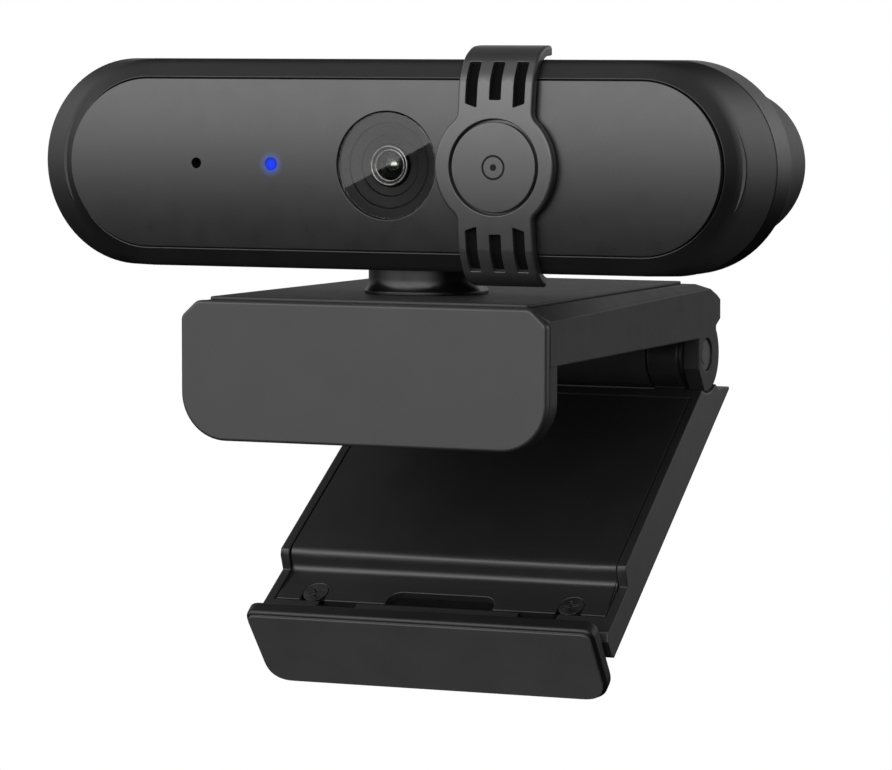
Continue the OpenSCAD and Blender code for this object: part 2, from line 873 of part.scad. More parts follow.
// front outline of the foot: small corners above, round corners below
module foot_outline(inset) {
    w = foot_half_w - inset;
    top = 5.5 - inset;
    bottom = -6.8 + inset;
    r_top = 1.4 - inset;
    r_low = 3.2 - inset;
    polygon(concat(
        arc(w - r_top, top - r_top, r_top, 0, 90, 4),
        arc(-w + r_top, top - r_top, r_top, 90, 180, 4),
        arc(-w + 0.3 + r_low, bottom + r_low, r_low, 180, 270, 6),
        arc(w - 0.3 - r_low, bottom + r_low, r_low, 270, 360, 6)
    ));
}

module foot_flap() {
    color([0.1, 0.1, 0.11])
        in_foot() difference() {
            union() {
                along_y(-3.5, -2.2) foot_outline(0);
                both_sides() {
                    rod_x(1.8, 11.5, 16.5);
                    block([11.5, 16.5], [-2.4, 0], [-1.8, 1.8]);
                }
            }
            rod_x(foot_pin_r + slit, -far, far);
        }
}

module foot_pad() {
    color([0.22, 0.22, 0.23])
        in_foot() along_y(-4.6, -3.5) foot_outline(0.35);
}

front_panel();
front_bezel();
mid_shell();
rear_housing();
lens_window();
lens_surround();
lens_barrel();
lens_trim_ring();
lens_element();
lens_holder();
image_sensor();
main_board();
processor_chip();
board_connector();
board_screws();
status_light();
light_chip();
microphone();
mic_gasket();
case_screws();
cable_grommet();
tilt_cradle();
tilt_pin();
privacy_cover();
cover_disc();
cover_felt();
neck_post();
tilt_washers();
pan_washer();
pan_spring();
pan_screw();
clip_bracket();
top_plate();
cover_plate();
lip_pad();
base_plate();
base_screws();
rest_pad();
hinge_pin();
hinge_washers();
leg_frame();
leg_panel();
leg_screws();
tripod_insert();
foot_pin();
foot_flap();
foot_pad();
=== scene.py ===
"""Looks of a clip-on webcam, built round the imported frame: shells, lens, privacy cover, neck, clip and leg.

All sizes in the classes are in millimetres and are turned into metres as a piece is made.
"""

import json
import logging
import math
from dataclasses import dataclass, field
from enum import Enum
from typing import Callable, Sequence

import bpy
import numpy as np
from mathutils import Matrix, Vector
from mathutils.geometry import delaunay_2d_cdt

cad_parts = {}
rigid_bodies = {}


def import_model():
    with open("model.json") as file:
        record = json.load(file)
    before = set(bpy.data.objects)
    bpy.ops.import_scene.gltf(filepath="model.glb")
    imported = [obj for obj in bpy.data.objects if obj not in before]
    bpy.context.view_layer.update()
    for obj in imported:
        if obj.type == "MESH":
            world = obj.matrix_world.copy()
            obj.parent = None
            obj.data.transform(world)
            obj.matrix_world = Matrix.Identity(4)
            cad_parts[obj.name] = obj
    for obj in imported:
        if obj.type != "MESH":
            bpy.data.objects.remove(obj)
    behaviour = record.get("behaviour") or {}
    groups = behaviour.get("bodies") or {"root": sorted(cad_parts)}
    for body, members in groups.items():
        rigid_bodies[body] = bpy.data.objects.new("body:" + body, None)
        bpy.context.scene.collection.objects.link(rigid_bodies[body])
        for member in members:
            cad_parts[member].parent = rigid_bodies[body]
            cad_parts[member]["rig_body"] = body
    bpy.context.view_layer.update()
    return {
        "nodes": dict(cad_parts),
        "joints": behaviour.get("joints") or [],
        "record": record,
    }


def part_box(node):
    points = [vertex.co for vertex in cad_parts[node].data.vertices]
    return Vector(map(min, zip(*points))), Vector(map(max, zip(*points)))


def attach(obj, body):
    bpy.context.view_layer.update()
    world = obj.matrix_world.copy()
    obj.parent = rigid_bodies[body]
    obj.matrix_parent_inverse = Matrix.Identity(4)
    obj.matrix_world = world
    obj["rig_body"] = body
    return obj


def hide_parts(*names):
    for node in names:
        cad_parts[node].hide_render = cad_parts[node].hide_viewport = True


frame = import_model()

Array = np.ndarray
Place = Callable[[Array, Array, Array], Array]
Colour = tuple[float, float, float]
Socket = bpy.types.NodeSocket

MM = 0.001
ARC_POINTS = 49          # points on each round end of a bar
ROUND_POINTS = 96        # points on a full circle
EDGE_STEPS = 6           # rows across a rounded edge
SMOOTH_ANGLE = math.radians(32)
LIGHT_CENTRE = tuple((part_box("status_light")[0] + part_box("status_light")[1]) / 2)

log = logging.getLogger("webcam")


# ---------- outlines: points in a plane, anticlockwise, so that the material is on their left ----------


def circle(radius: float, centre: tuple[float, float] = (0.0, 0.0), count: int = ROUND_POINTS) -> Array:
    """Evenly spaced points: the centre plus the radius times the cosine and sine of a full turn.

    Args:
        radius: radius of the circle.
        centre: its centre in the plane.
        count: number of points.

    Returns:
        Points as rows of two numbers.
    """
    turn = np.linspace(0, 2 * np.pi, count, endpoint=False)
    return np.stack([centre[0] + radius * np.cos(turn), centre[1] + radius * np.sin(turn)], axis=1)


def stadium(half_len: Array | float, radius: Array | float, count: int = ARC_POINTS) -> Array:
    """A bar with round ends: two half circles, each moved out by the half length less the radius.

    Args:
        half_len: half of the bar's length, one number or a column of them.
        radius: radius of its ends, shaped like half_len.
        count: points on each end.

    Returns:
        Points, or one row of points for each given pair.
    """
    half_len, radius = np.asarray(half_len, float)[..., None], np.asarray(radius, float)[..., None]
    turn = np.linspace(-np.pi / 2, np.pi / 2, count)
    right = np.stack([half_len - radius + radius * np.cos(turn), radius * np.sin(turn)], axis=-1)
    left = np.stack([radius - half_len - radius * np.cos(turn), -radius * np.sin(turn)], axis=-1)
    return np.concatenate([right, left], axis=-2)


def rounded(corners: Sequence[Sequence[float]], radii: Sequence[float] | float, closed: bool = True,
            steps: int = 8) -> Array:
    """A path with its corners rounded: each corner gives way to a curve that starts and ends on its two sides.

    The curve is the corner weighted by 2t(1-t) between its two ends weighted by (1-t) squared and t squared.

    Args:
        corners: the sharp corners, in any number of dimensions.
        radii: how far along each side the curve reaches, one number or one for each corner.
        closed: whether the last corner joins the first.
        steps: pieces in each curve.

    Returns:
        Points of the rounded path.
    """
    corner = np.asarray(corners, float)
    reach = np.broadcast_to(np.asarray(radii, float), (len(corner),))[:, None]
    before, after = np.roll(corner, 1, axis=0) - corner, np.roll(corner, -1, axis=0) - corner
    size = [np.linalg.norm(side, axis=1, keepdims=True) for side in (before, after)]
    start = corner + before * np.minimum(reach / size[0], 0.49)
    end = corner + after * np.minimum(reach / size[1], 0.49)
    t = np.linspace(0, 1, steps + 1)[None, :, None]
    curve = (1 - t) ** 2 * start[:, None] + 2 * t * (1 - t) * corner[:, None] + t ** 2 * end[:, None]
    if closed:
        path = curve.reshape(-1, corner.shape[1])
    else:
        inner = curve[1:-1].reshape(-1, corner.shape[1])
        path = np.concatenate([corner[:1], inner, corner[-1:]])
    moved = np.linalg.norm(np.diff(path, axis=0, prepend=path[-1:] if closed else path[:1] - 1), axis=1)
    return path[moved > 1e-6]


def joined(x: Array, y: Array, z: Array) -> Array:
    """Points from three arrays of coordinates, spread to one shape."""
    return np.stack(np.broadcast_arrays(x, y, z), axis=-1)


def subdivided(points: Array, spacing: float) -> Array:
    """A closed outline with points added along its long sides, evenly, so that no step is over the spacing."""
    following = np.roll(points, -1, axis=0)
    parts = np.maximum(1, np.ceil(np.linalg.norm(following - points, axis=1) / spacing)).astype(int)
    start = np.repeat(np.arange(len(points)), parts)
    share = (np.arange(parts.sum()) - np.repeat(np.cumsum(parts) - parts, parts)) / np.repeat(parts, parts)
    return points[start] + (following[start] - points[start]) * share[:, None]


def outward(points: Array) -> tuple[Array, Array]:
    """Directions away from the material: the mean of the two sides' right-hand normals at each point.

    Returns:
        Unit directions, and the same ones lengthened so that both sides move by one.
    """
    ahead = np.roll(points, -1, axis=0) - points
    normal = np.stack([ahead[:, 1], -ahead[:, 0]], axis=1)
    normal /= np.linalg.norm(normal, axis=1, keepdims=True)
    mean = normal + np.roll(normal, 1, axis=0)
    mean /= np.linalg.norm(mean, axis=1, keepdims=True)
    stretch = 1 / np.maximum(np.sum(mean * normal, axis=1, keepdims=True), 0.5)
    return mean, mean * stretch


def inside(points: Array, loops: Sequence[Array]) -> Array:
    """Whether points are in the material: a line to the right crosses the outlines an odd number of times."""
    start = np.concatenate(loops)
    end = np.concatenate([np.roll(loop, -1, axis=0) for loop in loops])
    x, y = points[:, :1], points[:, 1:2]
    spans = (start[:, 1] > y) != (end[:, 1] > y)
    rise = np.where(start[:, 1] == end[:, 1], 1.0, end[:, 1] - start[:, 1])
    cross = start[:, 0] + (y - start[:, 1]) * (end[:, 0] - start[:, 0]) / rise
    return (spans & (x < cross)).sum(axis=1) % 2 == 1


# ---------- shells: closed surfaces ----------


@dataclass
class Shell:
    """A closed surface, with its own shading normals where it has long thin triangles."""

    points: Array
    faces: list[list[int]]
    normals: Array | None = None


@dataclass
class Rim:
    """One outline of a plate and the radius that its edge is rounded by. A hole's outline runs clockwise."""

    points: Array
    edge: float


def grid_shell(grid: Array, ends: bool = True) -> Shell:
    """A surface over a grid of rows, each row a closed ring: four-sided faces join each ring to the next.

    Args:
        grid: rings of points, rows by points by three.
        ends: True closes the first and last ring with a flat face, and False joins the last ring to the first.

    Returns:
        The closed surface, with its faces outwards.
    """
    rows, count = grid.shape[:2]
    row = np.arange(rows - 1 if ends else rows)[:, None]
    i, j, below = np.arange(count)[None], (np.arange(count)[None] + 1) % count, (row + 1) % rows
    corners = (row * count + i, row * count + j, below * count + j, below * count + i)
    faces = np.stack(np.broadcast_arrays(*corners), -1).reshape(-1, 4).tolist()
    if ends:
        faces.append(list(range(count))[::-1])
        faces.append(list(range((rows - 1) * count, rows * count)))
    return turned_out(Shell(grid.reshape(-1, 3), faces))


def turned_out(shell: Shell) -> Shell:
    """The same shell with its faces pointing outwards, found from the sign of the volume that they enclose."""
    fans = [(face[0], face[k], face[k + 1]) for face in shell.faces for k in range(1, len(face) - 1)]
    a, b, c = (shell.points[np.array(fans)[:, k]] for k in range(3))
    if np.sum(a * np.cross(b, c)) < 0:
        shell.faces = [face[::-1] for face in shell.faces]
    return shell


def triangles(loops: Sequence[Array], lattice: Array) -> Array:
    """Triangles that fill the outlines, through all their points and the lattice's, by Delaunay's rule."""
    points = np.concatenate([*loops, lattice])
    first = np.cumsum([0] + [len(loop) for loop in loops])
    edges = [(int(start + i), int(start + (i + 1) % len(loop)))
             for start, loop in zip(first, loops) for i in range(len(loop))]
    found = delaunay_2d_cdt([Vector(p) for p in points.tolist()], edges, [], 1, 1e-6, True)
    index = np.array([origin[0] for origin in found[3]])
    faces = index[np.array(found[2])]
    return faces[inside(points[faces].mean(axis=1), loops)]


def slab(rims: Sequence[Rim], thick: float, place: Place, spacing: tuple[float, float] = (0.0, 0.0),
         back_edge: float | None = None) -> Shell:
    """A plate with holes and rounded edges, bent to any surface.

    At an angle a across an edge of radius e the outline is moved in by e(1 - sin a) and lies at the depth
    e(1 - cos a). place() then takes the plane's two coordinates and the depth to a point of the object.

    Args:
        rims: the outer outline first, then the holes.
        thick: the plate's thickness.
        place: the surface that the plate follows; its first two directions are seen from the front.
        spacing: distances between the points inside the faces, where the surface is curved.
        back_edge: radius of the edges at the back, where it isn't that of the front.

    Returns:
        The closed plate with its exact shading normals.
    """
    quarter = np.linspace(0, np.pi / 2, EDGE_STEPS)
    angle = np.concatenate([quarter, quarter[::-1]])[:, None]
    front = (np.arange(2 * EDGE_STEPS) < EDGE_STEPS)[:, None]
    small = 1e-3

    def normals(a: Array, b: Array, t: Array, out: Array, lean: Array, face: Array) -> Array:
        """The face's normal and the outline's, weighted by the cosine and sine of the angle across the edge."""
        along = place(a + small, b, t) - place(a - small, b, t)
        up = place(a, b + small, t) - place(a, b - small, t)
        surface = np.cross(along, up)
        surface /= np.linalg.norm(surface, axis=-1, keepdims=True)
        side = along * out[..., :1] + up * out[..., 1:]
        side /= np.maximum(np.linalg.norm(side, axis=-1, keepdims=True), 1e-12)
        return np.cos(lean)[..., None] * face[..., None] * surface + np.sin(lean)[..., None] * side

    points, shading, faces, starts = [], [], [], []
    caps: dict[bool, list[Array]] = {True: [], False: []}
    total = 0
    for rim in rims:
        away, step = outward(rim.points)
        radius = np.where(front, rim.edge, rim.edge if back_edge is None else back_edge)
        flat = rim.points[None] - step[None] * (radius * (1 - np.sin(angle)))[..., None]
        depth = np.where(front, radius * (1 - np.cos(angle)), thick - radius * (1 - np.cos(angle)))
        depth = np.broadcast_to(depth, flat.shape[:2])
        rows, count = flat.shape[:2]
        points.append(place(flat[..., 0], flat[..., 1], depth).reshape(-1, 3))
        shading.append(normals(flat[..., 0], flat[..., 1], depth, np.broadcast_to(away, flat.shape),
                               np.broadcast_to(angle, (rows, count)),
                               np.broadcast_to(np.where(front, 1.0, -1.0), (rows, count))).reshape(-1, 3))
        row, i = np.arange(rows - 1)[:, None] * count + total, np.arange(count)[None]
        j = (i + 1) % count
        faces += np.stack([row + i, row + count + i, row + count + j, row + j], -1).reshape(-1, 4).tolist()
        starts.append((total, total + (rows - 1) * count, count))
        caps[True].append(flat[0])
        caps[False].append(flat[-1])
        total += rows * count
    for side, column in ((True, 0), (False, 1)):
        lattice = lattice_in(caps[side], spacing)
        tri = triangles(caps[side], lattice)
        index = np.concatenate([start[column] + np.arange(start[2]) for start in starts] +
                               [total + np.arange(len(lattice))]).astype(int)
        tri = index[tri]
        faces += (tri if side else tri[:, ::-1]).tolist()
        depth = np.full(len(lattice), 0.0 if side else thick)
        points.append(place(lattice[:, 0], lattice[:, 1], depth))
        shading.append(normals(lattice[:, 0], lattice[:, 1], depth, np.zeros((len(lattice), 2)),
                               np.zeros(len(lattice)), np.full(len(lattice), 1.0 if side else -1.0)))
        total += len(lattice)
    return Shell(np.concatenate(points), faces, np.concatenate(shading))


def lattice_in(loops: Sequence[Array], spacing: tuple[float, float]) -> Array:
    """Points at even distances inside the outlines, none for a spacing of zero, and none close to an edge."""
    if not spacing[0]:
        return np.zeros((0, 2))
    low, high = loops[0].min(axis=0), loops[0].max(axis=0)
    counts = [max(2, int(round((high[k] - low[k]) / spacing[k])) + 1) for k in (0, 1)]
    a, b = np.meshgrid(*[np.linspace(low[k], high[k], counts[k]) for k in (0, 1)])
    points = np.stack([a.ravel(), b.ravel()], axis=1)
    points = points[inside(points, loops)]
    edge = np.concatenate(loops)
    nearest = np.min(np.linalg.norm(points[:, None] - edge[None], axis=2), axis=1)
    return points[nearest > 0.3 * min(spacing)]


def revolved(profile: Array, axis_point: Sequence[float], axis: str = "y", ring: bool = False) -> Shell:
    """A turned part: each pair of a radius and a distance along the axis becomes a ring.

    Args:
        profile: pairs of radius and distance, in order round the section or from one end to the other.
        axis_point: where the axis starts.
        axis: the axis that the part turns about, x, y or z.
        ring: whether the profile goes all round the section, so that the part has no ends.

    Returns:
        The closed part, with a flat face at each end unless it is a ring.
    """
    turn = np.linspace(0, 2 * np.pi, ROUND_POINTS, endpoint=False)[None]
    radius, along = profile[:, :1], np.broadcast_to(profile[:, 1:2], (len(profile), ROUND_POINTS))
    across = [radius * np.cos(turn), radius * np.sin(turn)]
    order = {"x": [along, *across], "y": [across[0], along, across[1]], "z": [*across, along]}[axis]
    return grid_shell(np.stack(order, axis=-1) + np.asarray(axis_point, float), ends=not ring)


def bar_shell(chain: Array, origin: Sequence[float], ends: bool) -> Shell:
    """Rings with round ends, one behind the other, each from a half length, an end radius and a depth."""
    flat = stadium(chain[:, 0], chain[:, 1])
    depth = np.broadcast_to(chain[:, 2:3], flat.shape[:2])
    return grid_shell(np.stack([flat[..., 0], depth, flat[..., 1]], axis=-1) + np.asarray(origin, float), ends)


class SideLine:
    """A bent plate's side view: its line, the running length along it and its unit direction."""

    def __init__(self, line: Array) -> None:
        """Measures the line: the running length sums the steps, and the direction is its slope against that."""
        self.line = line
        self.run = np.concatenate([[0], np.cumsum(np.linalg.norm(np.diff(line, axis=0), axis=1))])
        tangent = np.gradient(line, self.run, axis=0)
        self.tangent = tangent / np.linalg.norm(tangent, axis=1, keepdims=True)

    def at(self, along: Array, deep: Array) -> tuple[Array, Array]:
        """A point of the line by its running length, moved in along the line's own normal."""
        parts = (*self.line.T, *self.tangent.T)
        first, second, slope, rise = (np.interp(along, self.run, part) for part in parts)
        size = np.hypot(slope, rise)
        return first + deep * rise / size, second - deep * slope / size


# ---------- finishes ----------


class Tree:
    """A node tree in the making: each node comes with its settings, and its inputs are fed or set at once."""

    def __init__(self, owner: bpy.types.Material | bpy.types.World) -> None:
        """Empties the owner's node tree."""
        owner.use_nodes = True
        self.nodes, self.links = owner.node_tree.nodes, owner.node_tree.links
        self.nodes.clear()

    def add(self, kind: str, inputs: dict[str | int, object] | None = None,
            **settings: object) -> bpy.types.Node:
        """Adds a node.

        Args:
            kind: the node's type, without the word ShaderNode.
            inputs: for each input, by name or number, a socket to link or a constant.
            settings: the node's own properties.

        Returns:
            The new node.
        """
        node = self.nodes.new("ShaderNode" + kind)
        for name, value in settings.items():
            setattr(node, name, value)
        for name, value in (inputs or {}).items():
            if isinstance(value, Socket):
                self.links.new(value, node.inputs[name])
            else:
                node.inputs[name].default_value = value
        return node

    def ranged(self, socket: Socket, low: float, high: float, start: float = 0.3, stop: float = 0.7,
               kind: str = "LINEAR") -> Socket:
        """A value brought from its own range, start to stop, to a new one, low to high."""
        ends = {"Value": socket, "From Min": start, "From Max": stop, "To Min": low, "To Max": high}
        return self.add("MapRange", ends, interpolation_type=kind).outputs[0]

    def maths(self, operation: str, first: Socket, second: Socket | float) -> Socket:
        """A sum, product or other operation on two values."""
        return self.add("Math", {0: first, 1: second}, operation=operation).outputs[0]


class Recipe(Tree):
    """A material in the making: its Principled shader and the nodes that feed it."""

    def __init__(self, name: str) -> None:
        """Starts a material with a Principled shader and an object coordinate."""
        self.material = bpy.data.materials.new(name)
        super().__init__(self.material)
        self.shader = self.add("BsdfPrincipled")
        self.output = self.add("OutputMaterial", {"Surface": self.shader.outputs[0]})
        self.place = self.add("TexCoord").outputs["Object"]

    def set(self, **values: float | Sequence[float]) -> "Recipe":
        """Sets constants on the shader's own sockets, with an underscore for each space in a socket's name."""
        for name, value in values.items():
            self.shader.inputs[name.replace("_", " ")].default_value = value
        return self

    def put(self, socket: Socket, name: str) -> None:
        """Feeds a socket into the shader's input of that name."""
        self.links.new(socket, self.shader.inputs[name])

    def noise(self, size_mm: float, detail: float = 2.0, stretch: Sequence[float] = (1, 1, 1)) -> Socket:
        """Cloudy noise with features of about that size, squeezed by a factor on each axis."""
        place = self.add("Mapping", {"Vector": self.place, "Scale": stretch}).outputs[0]
        size = {"Vector": place, "Scale": 1 / (size_mm * MM), "Detail": detail}
        return self.add("TexNoise", size).outputs["Fac"]

    def blend(self, factor: Socket, first: Colour, second: Colour) -> Socket:
        """A colour between two, by a factor."""
        ends = {"Factor": factor, "A": (*first, 1), "B": (*second, 1)}
        return self.add("Mix", ends, data_type="RGBA").outputs["Result"]

    def distance(self, centre: Sequence[float]) -> Socket:
        """Distance from a line through the centre that runs from front to back."""
        shift = self.add("Mapping", {"Vector": self.place, "Location": [-c for c in centre]})
        flat = self.add("VectorMath", {0: shift.outputs[0], 1: (1, 0, 1)}, operation="MULTIPLY")
        return self.add("VectorMath", {0: flat.outputs[0]}, operation="LENGTH").outputs["Value"]

    def relief(self, height: Socket, depth_mm: float, edge_mm: float = 0.0) -> None:
        """Bumps of that depth, over edges that shade as if rounded by a small radius."""
        bump = self.add("Bump", {"Height": height, "Strength": 1.0, "Distance": depth_mm * MM})
        if edge_mm:
            soft = self.add("Bevel", {"Radius": edge_mm * MM}, samples=6)
            self.links.new(soft.outputs[0], bump.inputs["Normal"])
        self.put(bump.outputs[0], "Normal")


@dataclass(frozen=True)
class Moulded:
    """A moulded plastic or rubber: tool grain, a faint mottle in its colour and a slightly uneven sheen; where
    asked, a painted blue glow round the status light.
    """

    name: str
    tone: Colour
    roughness: float
    grain_mm: float = 0.16
    depth_mm: float = 0.0025
    mottle: float = 0.10
    specular: float = 0.5
    edge_mm: float = 0.0
    painted_glow: bool = False

    def make(self) -> bpy.types.Material:
        """Builds the material."""
        recipe = Recipe(self.name)
        # Painted glow: the status light's blue spill, painted as emission on this surface, fading to black from
        # 0.8 to 1.7 mm off the light's axis.
        if self.painted_glow:
            fade = recipe.ranged(recipe.distance(LIGHT_CENTRE), 0.0, 1.0, 0.8 * MM, 1.7 * MM)
            recipe.put(recipe.blend(fade, (0.004, 0.036, 0.22), (0.0, 0.0, 0.0)), "Emission Color")
            recipe.set(Emission_Strength=1.0)
        cloud = recipe.noise(7.0, 3.0)
        darker = tuple(c * (1 - self.mottle) for c in self.tone)
        lighter = tuple(c * (1 + self.mottle) for c in self.tone)
        recipe.put(recipe.blend(recipe.ranged(cloud, 0, 1), darker, lighter), "Base Color")
        speck = recipe.noise(self.grain_mm, 2.0)
        wear = recipe.ranged(recipe.noise(2.5, 2.0), self.roughness - 0.02, self.roughness + 0.02)
        recipe.put(recipe.maths("ADD", wear, recipe.ranged(speck, -0.015, 0.015)), "Roughness")
        recipe.set(Specular_IOR_Level=self.specular)
        recipe.relief(speck, self.depth_mm, self.edge_mm)
        return recipe.material


@dataclass(frozen=True)
class Metal:
    """A plated or turned metal with fine drawn lines."""

    name: str
    tone: Colour
    roughness: float
    lines_mm: float = 0.08
    edge_mm: float = 0.05

    def make(self) -> bpy.types.Material:
        """Builds the material."""
        recipe = Recipe(self.name).set(Metallic=1.0)
        lines = recipe.noise(self.lines_mm, 3.0, (0.15, 1, 1))
        stain = recipe.noise(1.8, 4.0)
        darker = tuple(c * 0.82 for c in self.tone)
        recipe.put(recipe.blend(recipe.ranged(stain, 0, 1), darker, self.tone), "Base Color")
        dull = recipe.ranged(stain, self.roughness - 0.05, self.roughness + 0.08)
        recipe.put(recipe.maths("ADD", recipe.ranged(lines, -0.06, 0.06), dull), "Roughness")
        recipe.relief(lines, 0.002, self.edge_mm)
        return recipe.material


@dataclass(frozen=True)
class Glazing:
    """Clear, tinted glass: what is behind it shows through, and its face mirrors what is in front."""

    name: str
    tint: Colour
    gloss: Colour
    mirror: float

    def make(self) -> bpy.types.Material:
        """Builds the material from a clear layer and a mirror layer, mixed by Fresnel's rule."""
        recipe = Recipe(self.name)
        recipe.nodes.remove(recipe.shader)
        clear = recipe.add("BsdfTransparent", {"Color": (*self.tint, 1)})
        wipe = recipe.ranged(recipe.noise(3.0, 3.0), 0.003, 0.012)
        glossy = recipe.add("BsdfAnisotropic", {"Color": (*self.gloss, 1), "Roughness": wipe})
        facing = recipe.add("Fresnel", {"IOR": self.mirror})
        mix = recipe.add("MixShader", {0: facing.outputs[0], 1: clear.outputs[0], 2: glossy.outputs[0]})
        recipe.links.new(mix.outputs[0], recipe.output.inputs[0])
        return recipe.material


@dataclass(frozen=True)
class Board:
    """A printed board or a chip on it: copper tracks under a coloured mask."""

    name: str
    mask: Colour
    track: Colour
    pitch_mm: float = 0.7

    def make(self) -> bpy.types.Material:
        """Builds the material from a brick pattern of pads with tracks between them."""
        recipe = Recipe(self.name).set(Roughness=0.3)
        turn = recipe.add("Mapping", {"Vector": recipe.place, "Rotation": (math.pi / 2, 0, 0)})
        size = {"Vector": turn.outputs[0], "Scale": 1 / (self.pitch_mm * 4 * MM), "Mortar Size": 0.05}
        darker = tuple(c * 0.8 for c in self.mask)
        inks = {"Color1": (*self.mask, 1), "Color2": (*darker, 1), "Mortar": (*self.track, 1)}
        brick = recipe.add("TexBrick", {**size, **inks})
        recipe.put(brick.outputs["Color"], "Base Color")
        recipe.relief(brick.outputs["Fac"], 0.02, 0.05)
        return recipe.material


@dataclass(frozen=True)
class Glow:
    """A lit light guide: bright at its middle and deeper in colour at its rim."""

    name: str
    middle: Colour
    rim: Colour
    strength: float
    centre: Colour
    radius_mm: float

    def make(self) -> bpy.types.Material:
        """Builds the material: the colour and the strength follow the distance from the guide's axis."""
        recipe = Recipe(self.name).set(Roughness=0.35, Specular_IOR_Level=0.1, Emission_Strength=self.strength)
        share = recipe.ranged(recipe.distance(self.centre), 0, 1, 0, self.radius_mm * MM)
        grain = recipe.ranged(recipe.noise(0.3, 2.0), -0.08, 0.08)
        factor = recipe.maths("ADD", share, grain)
        recipe.put(recipe.blend(factor, self.middle, self.rim), "Emission Color")
        dim = [tuple(c * 0.3 for c in colour) for colour in (self.middle, self.rim)]
        recipe.put(recipe.blend(factor, *dim), "Base Color")
        return recipe.material


def grey(level: float, warmth: float = 0.0) -> Colour:
    """A near-neutral tone; a warmth above zero is redder and one below zero is bluer."""
    return (level * (1 + warmth), level, level * (1 - warmth))


class Finish(Enum):
    """Every finish on the webcam."""

    # The panel carries the painted blue glow round the status light.
    PANEL = Moulded("panel_satin", grey(0.010, -0.03), 0.30, 0.14, 0.0014, 0.06, 0.62, painted_glow=True)
    SHELL = Moulded("shell_satin", grey(0.008), 0.34, 0.16, 0.0020, 0.10, 0.50)
    REAR = Moulded("shell_grained", grey(0.012), 0.44, 0.16, 0.0030, 0.10, 0.45, 0.25)
    COVER = Moulded("cover_satin", grey(0.026), 0.33, 0.14, 0.0016, 0.07, 0.80)
    MARK = Moulded("mark_ink", grey(0.004), 0.50, 0.10, 0.0012, 0.10, 0.15)
    NECK = Moulded("neck_gloss", grey(0.003), 0.24, 0.30, 0.0010, 0.10, 0.38, 0.15)
    CLIP = Moulded("clip_grained", grey(0.025), 0.50, 0.18, 0.0035, 0.10, 0.38, 0.25)
    PLATE = Moulded("plate_satin", grey(0.026), 0.42, 0.16, 0.0024, 0.07, 0.50)
    LEG = Moulded("leg_satin", grey(0.014), 0.36, 0.16, 0.0020, 0.10, 0.50)
    FRAME = Moulded("leg_frame_satin", grey(0.016), 0.38, 0.16, 0.0024, 0.10, 0.50, 0.35)
    FOOT = Moulded("foot_soft", grey(0.050), 0.55, 0.12, 0.0030, 0.08, 0.40)
    RUBBER = Moulded("soft_rubber", grey(0.014), 0.62, 0.22, 0.0060, 0.15, 0.35, 0.12)
    FELT = Moulded("short_felt", grey(0.004), 0.95, 0.05, 0.0200, 0.30, 0.05)
    RIM = Moulded("foot_rim_rubber", grey(0.006), 0.42, 0.14, 0.0030, 0.10, 0.40)
    CREAM = Moulded("cream_plastic", (0.62, 0.60, 0.52), 0.45, 0.20, 0.0030, 0.04, 0.50, 0.05)
    INNER = Moulded("inner_moulding", grey(0.050), 0.50, 0.20, 0.0040, 0.08, 0.45, 0.15)
    EPOXY = Moulded("chip_epoxy", grey(0.012), 0.48, 0.06, 0.0040, 0.20, 0.45, 0.05)
    RECESS = Moulded("lens_recess", grey(0.012, 0.03), 0.45, 0.30, 0.0003, 0.06, 0.20)
    BARREL = Moulded("barrel_black", grey(0.006), 0.28, 0.10, 0.0010, 0.10, 0.50, 0.04)
    RING = Metal("ring_turned", (0.55, 0.54, 0.52), 0.24, 0.05)
    STEEL = Metal("zinc_steel", (0.55, 0.56, 0.58), 0.34)
    DARK_STEEL = Metal("black_oxide_steel", (0.13, 0.13, 0.135), 0.42)
    BRASS = Metal("turned_brass", (0.62, 0.44, 0.19), 0.32)
    WINDOW = Glazing("window_clear", (0.92, 0.92, 0.92), (1.0, 1.0, 1.0), 1.40)
    OPTIC = Glazing("coated_glass", (0.90, 0.92, 0.90), (0.95, 1.0, 0.98), 1.35)
    COAT = Metal("lens_coating", (0.62, 0.60, 0.55), 0.10, 0.30, 0.0)
    MASK = Board("green_board", (0.010, 0.065, 0.030), (0.020, 0.130, 0.055))
    SENSOR = Board("sensor_glass", (0.030, 0.050, 0.080), (0.10, 0.12, 0.16), 0.15)
    LIGHT = Glow("blue_light", (0.004, 0.045, 0.80), (0.002, 0.02, 0.55), 1.0, LIGHT_CENTRE, 0.75)

    def material(self) -> bpy.types.Material:
        """The finish's material, built on first use."""
        return bpy.data.materials.get(self.value.name) or self.value.make()


# ---------- making and placing a piece ----------


def even_shading(piece: bpy.types.Object) -> None:
    """Lets large faces shade flat and only the small ones between them turn, by weighting normals with area."""
    even = piece.modifiers.new("even", "WEIGHTED_NORMAL")
    even.keep_sharp = True


def new_mesh(name: str, shells: Sequence[Shell]) -> bpy.types.Object:
    """Joins closed shells, given in millimetres, into one smooth-shaded object in metres."""
    offsets = np.cumsum([0] + [len(shell.points) for shell in shells])
    faces = [[int(i) + int(start) for i in face]
             for shell, start in zip(shells, offsets) for face in shell.faces]
    mesh = bpy.data.meshes.new(name)
    mesh.from_pydata((np.concatenate([shell.points for shell in shells]) * MM).tolist(), [], faces)
    mesh.polygons.foreach_set("use_smooth", np.ones(len(mesh.polygons), bool))
    if all(shell.normals is not None for shell in shells):
        normals = np.concatenate([shell.normals for shell in shells])
        mesh.normals_split_custom_set_from_vertices(normals.tolist())
    else:
        mesh.set_sharp_from_angle(angle=SMOOTH_ANGLE)
    mesh.update()
    made = bpy.data.objects.new(name, mesh)
    if any(shell.normals is None for shell in shells):
        even_shading(made)
    bpy.context.scene.collection.objects.link(made)
    return made


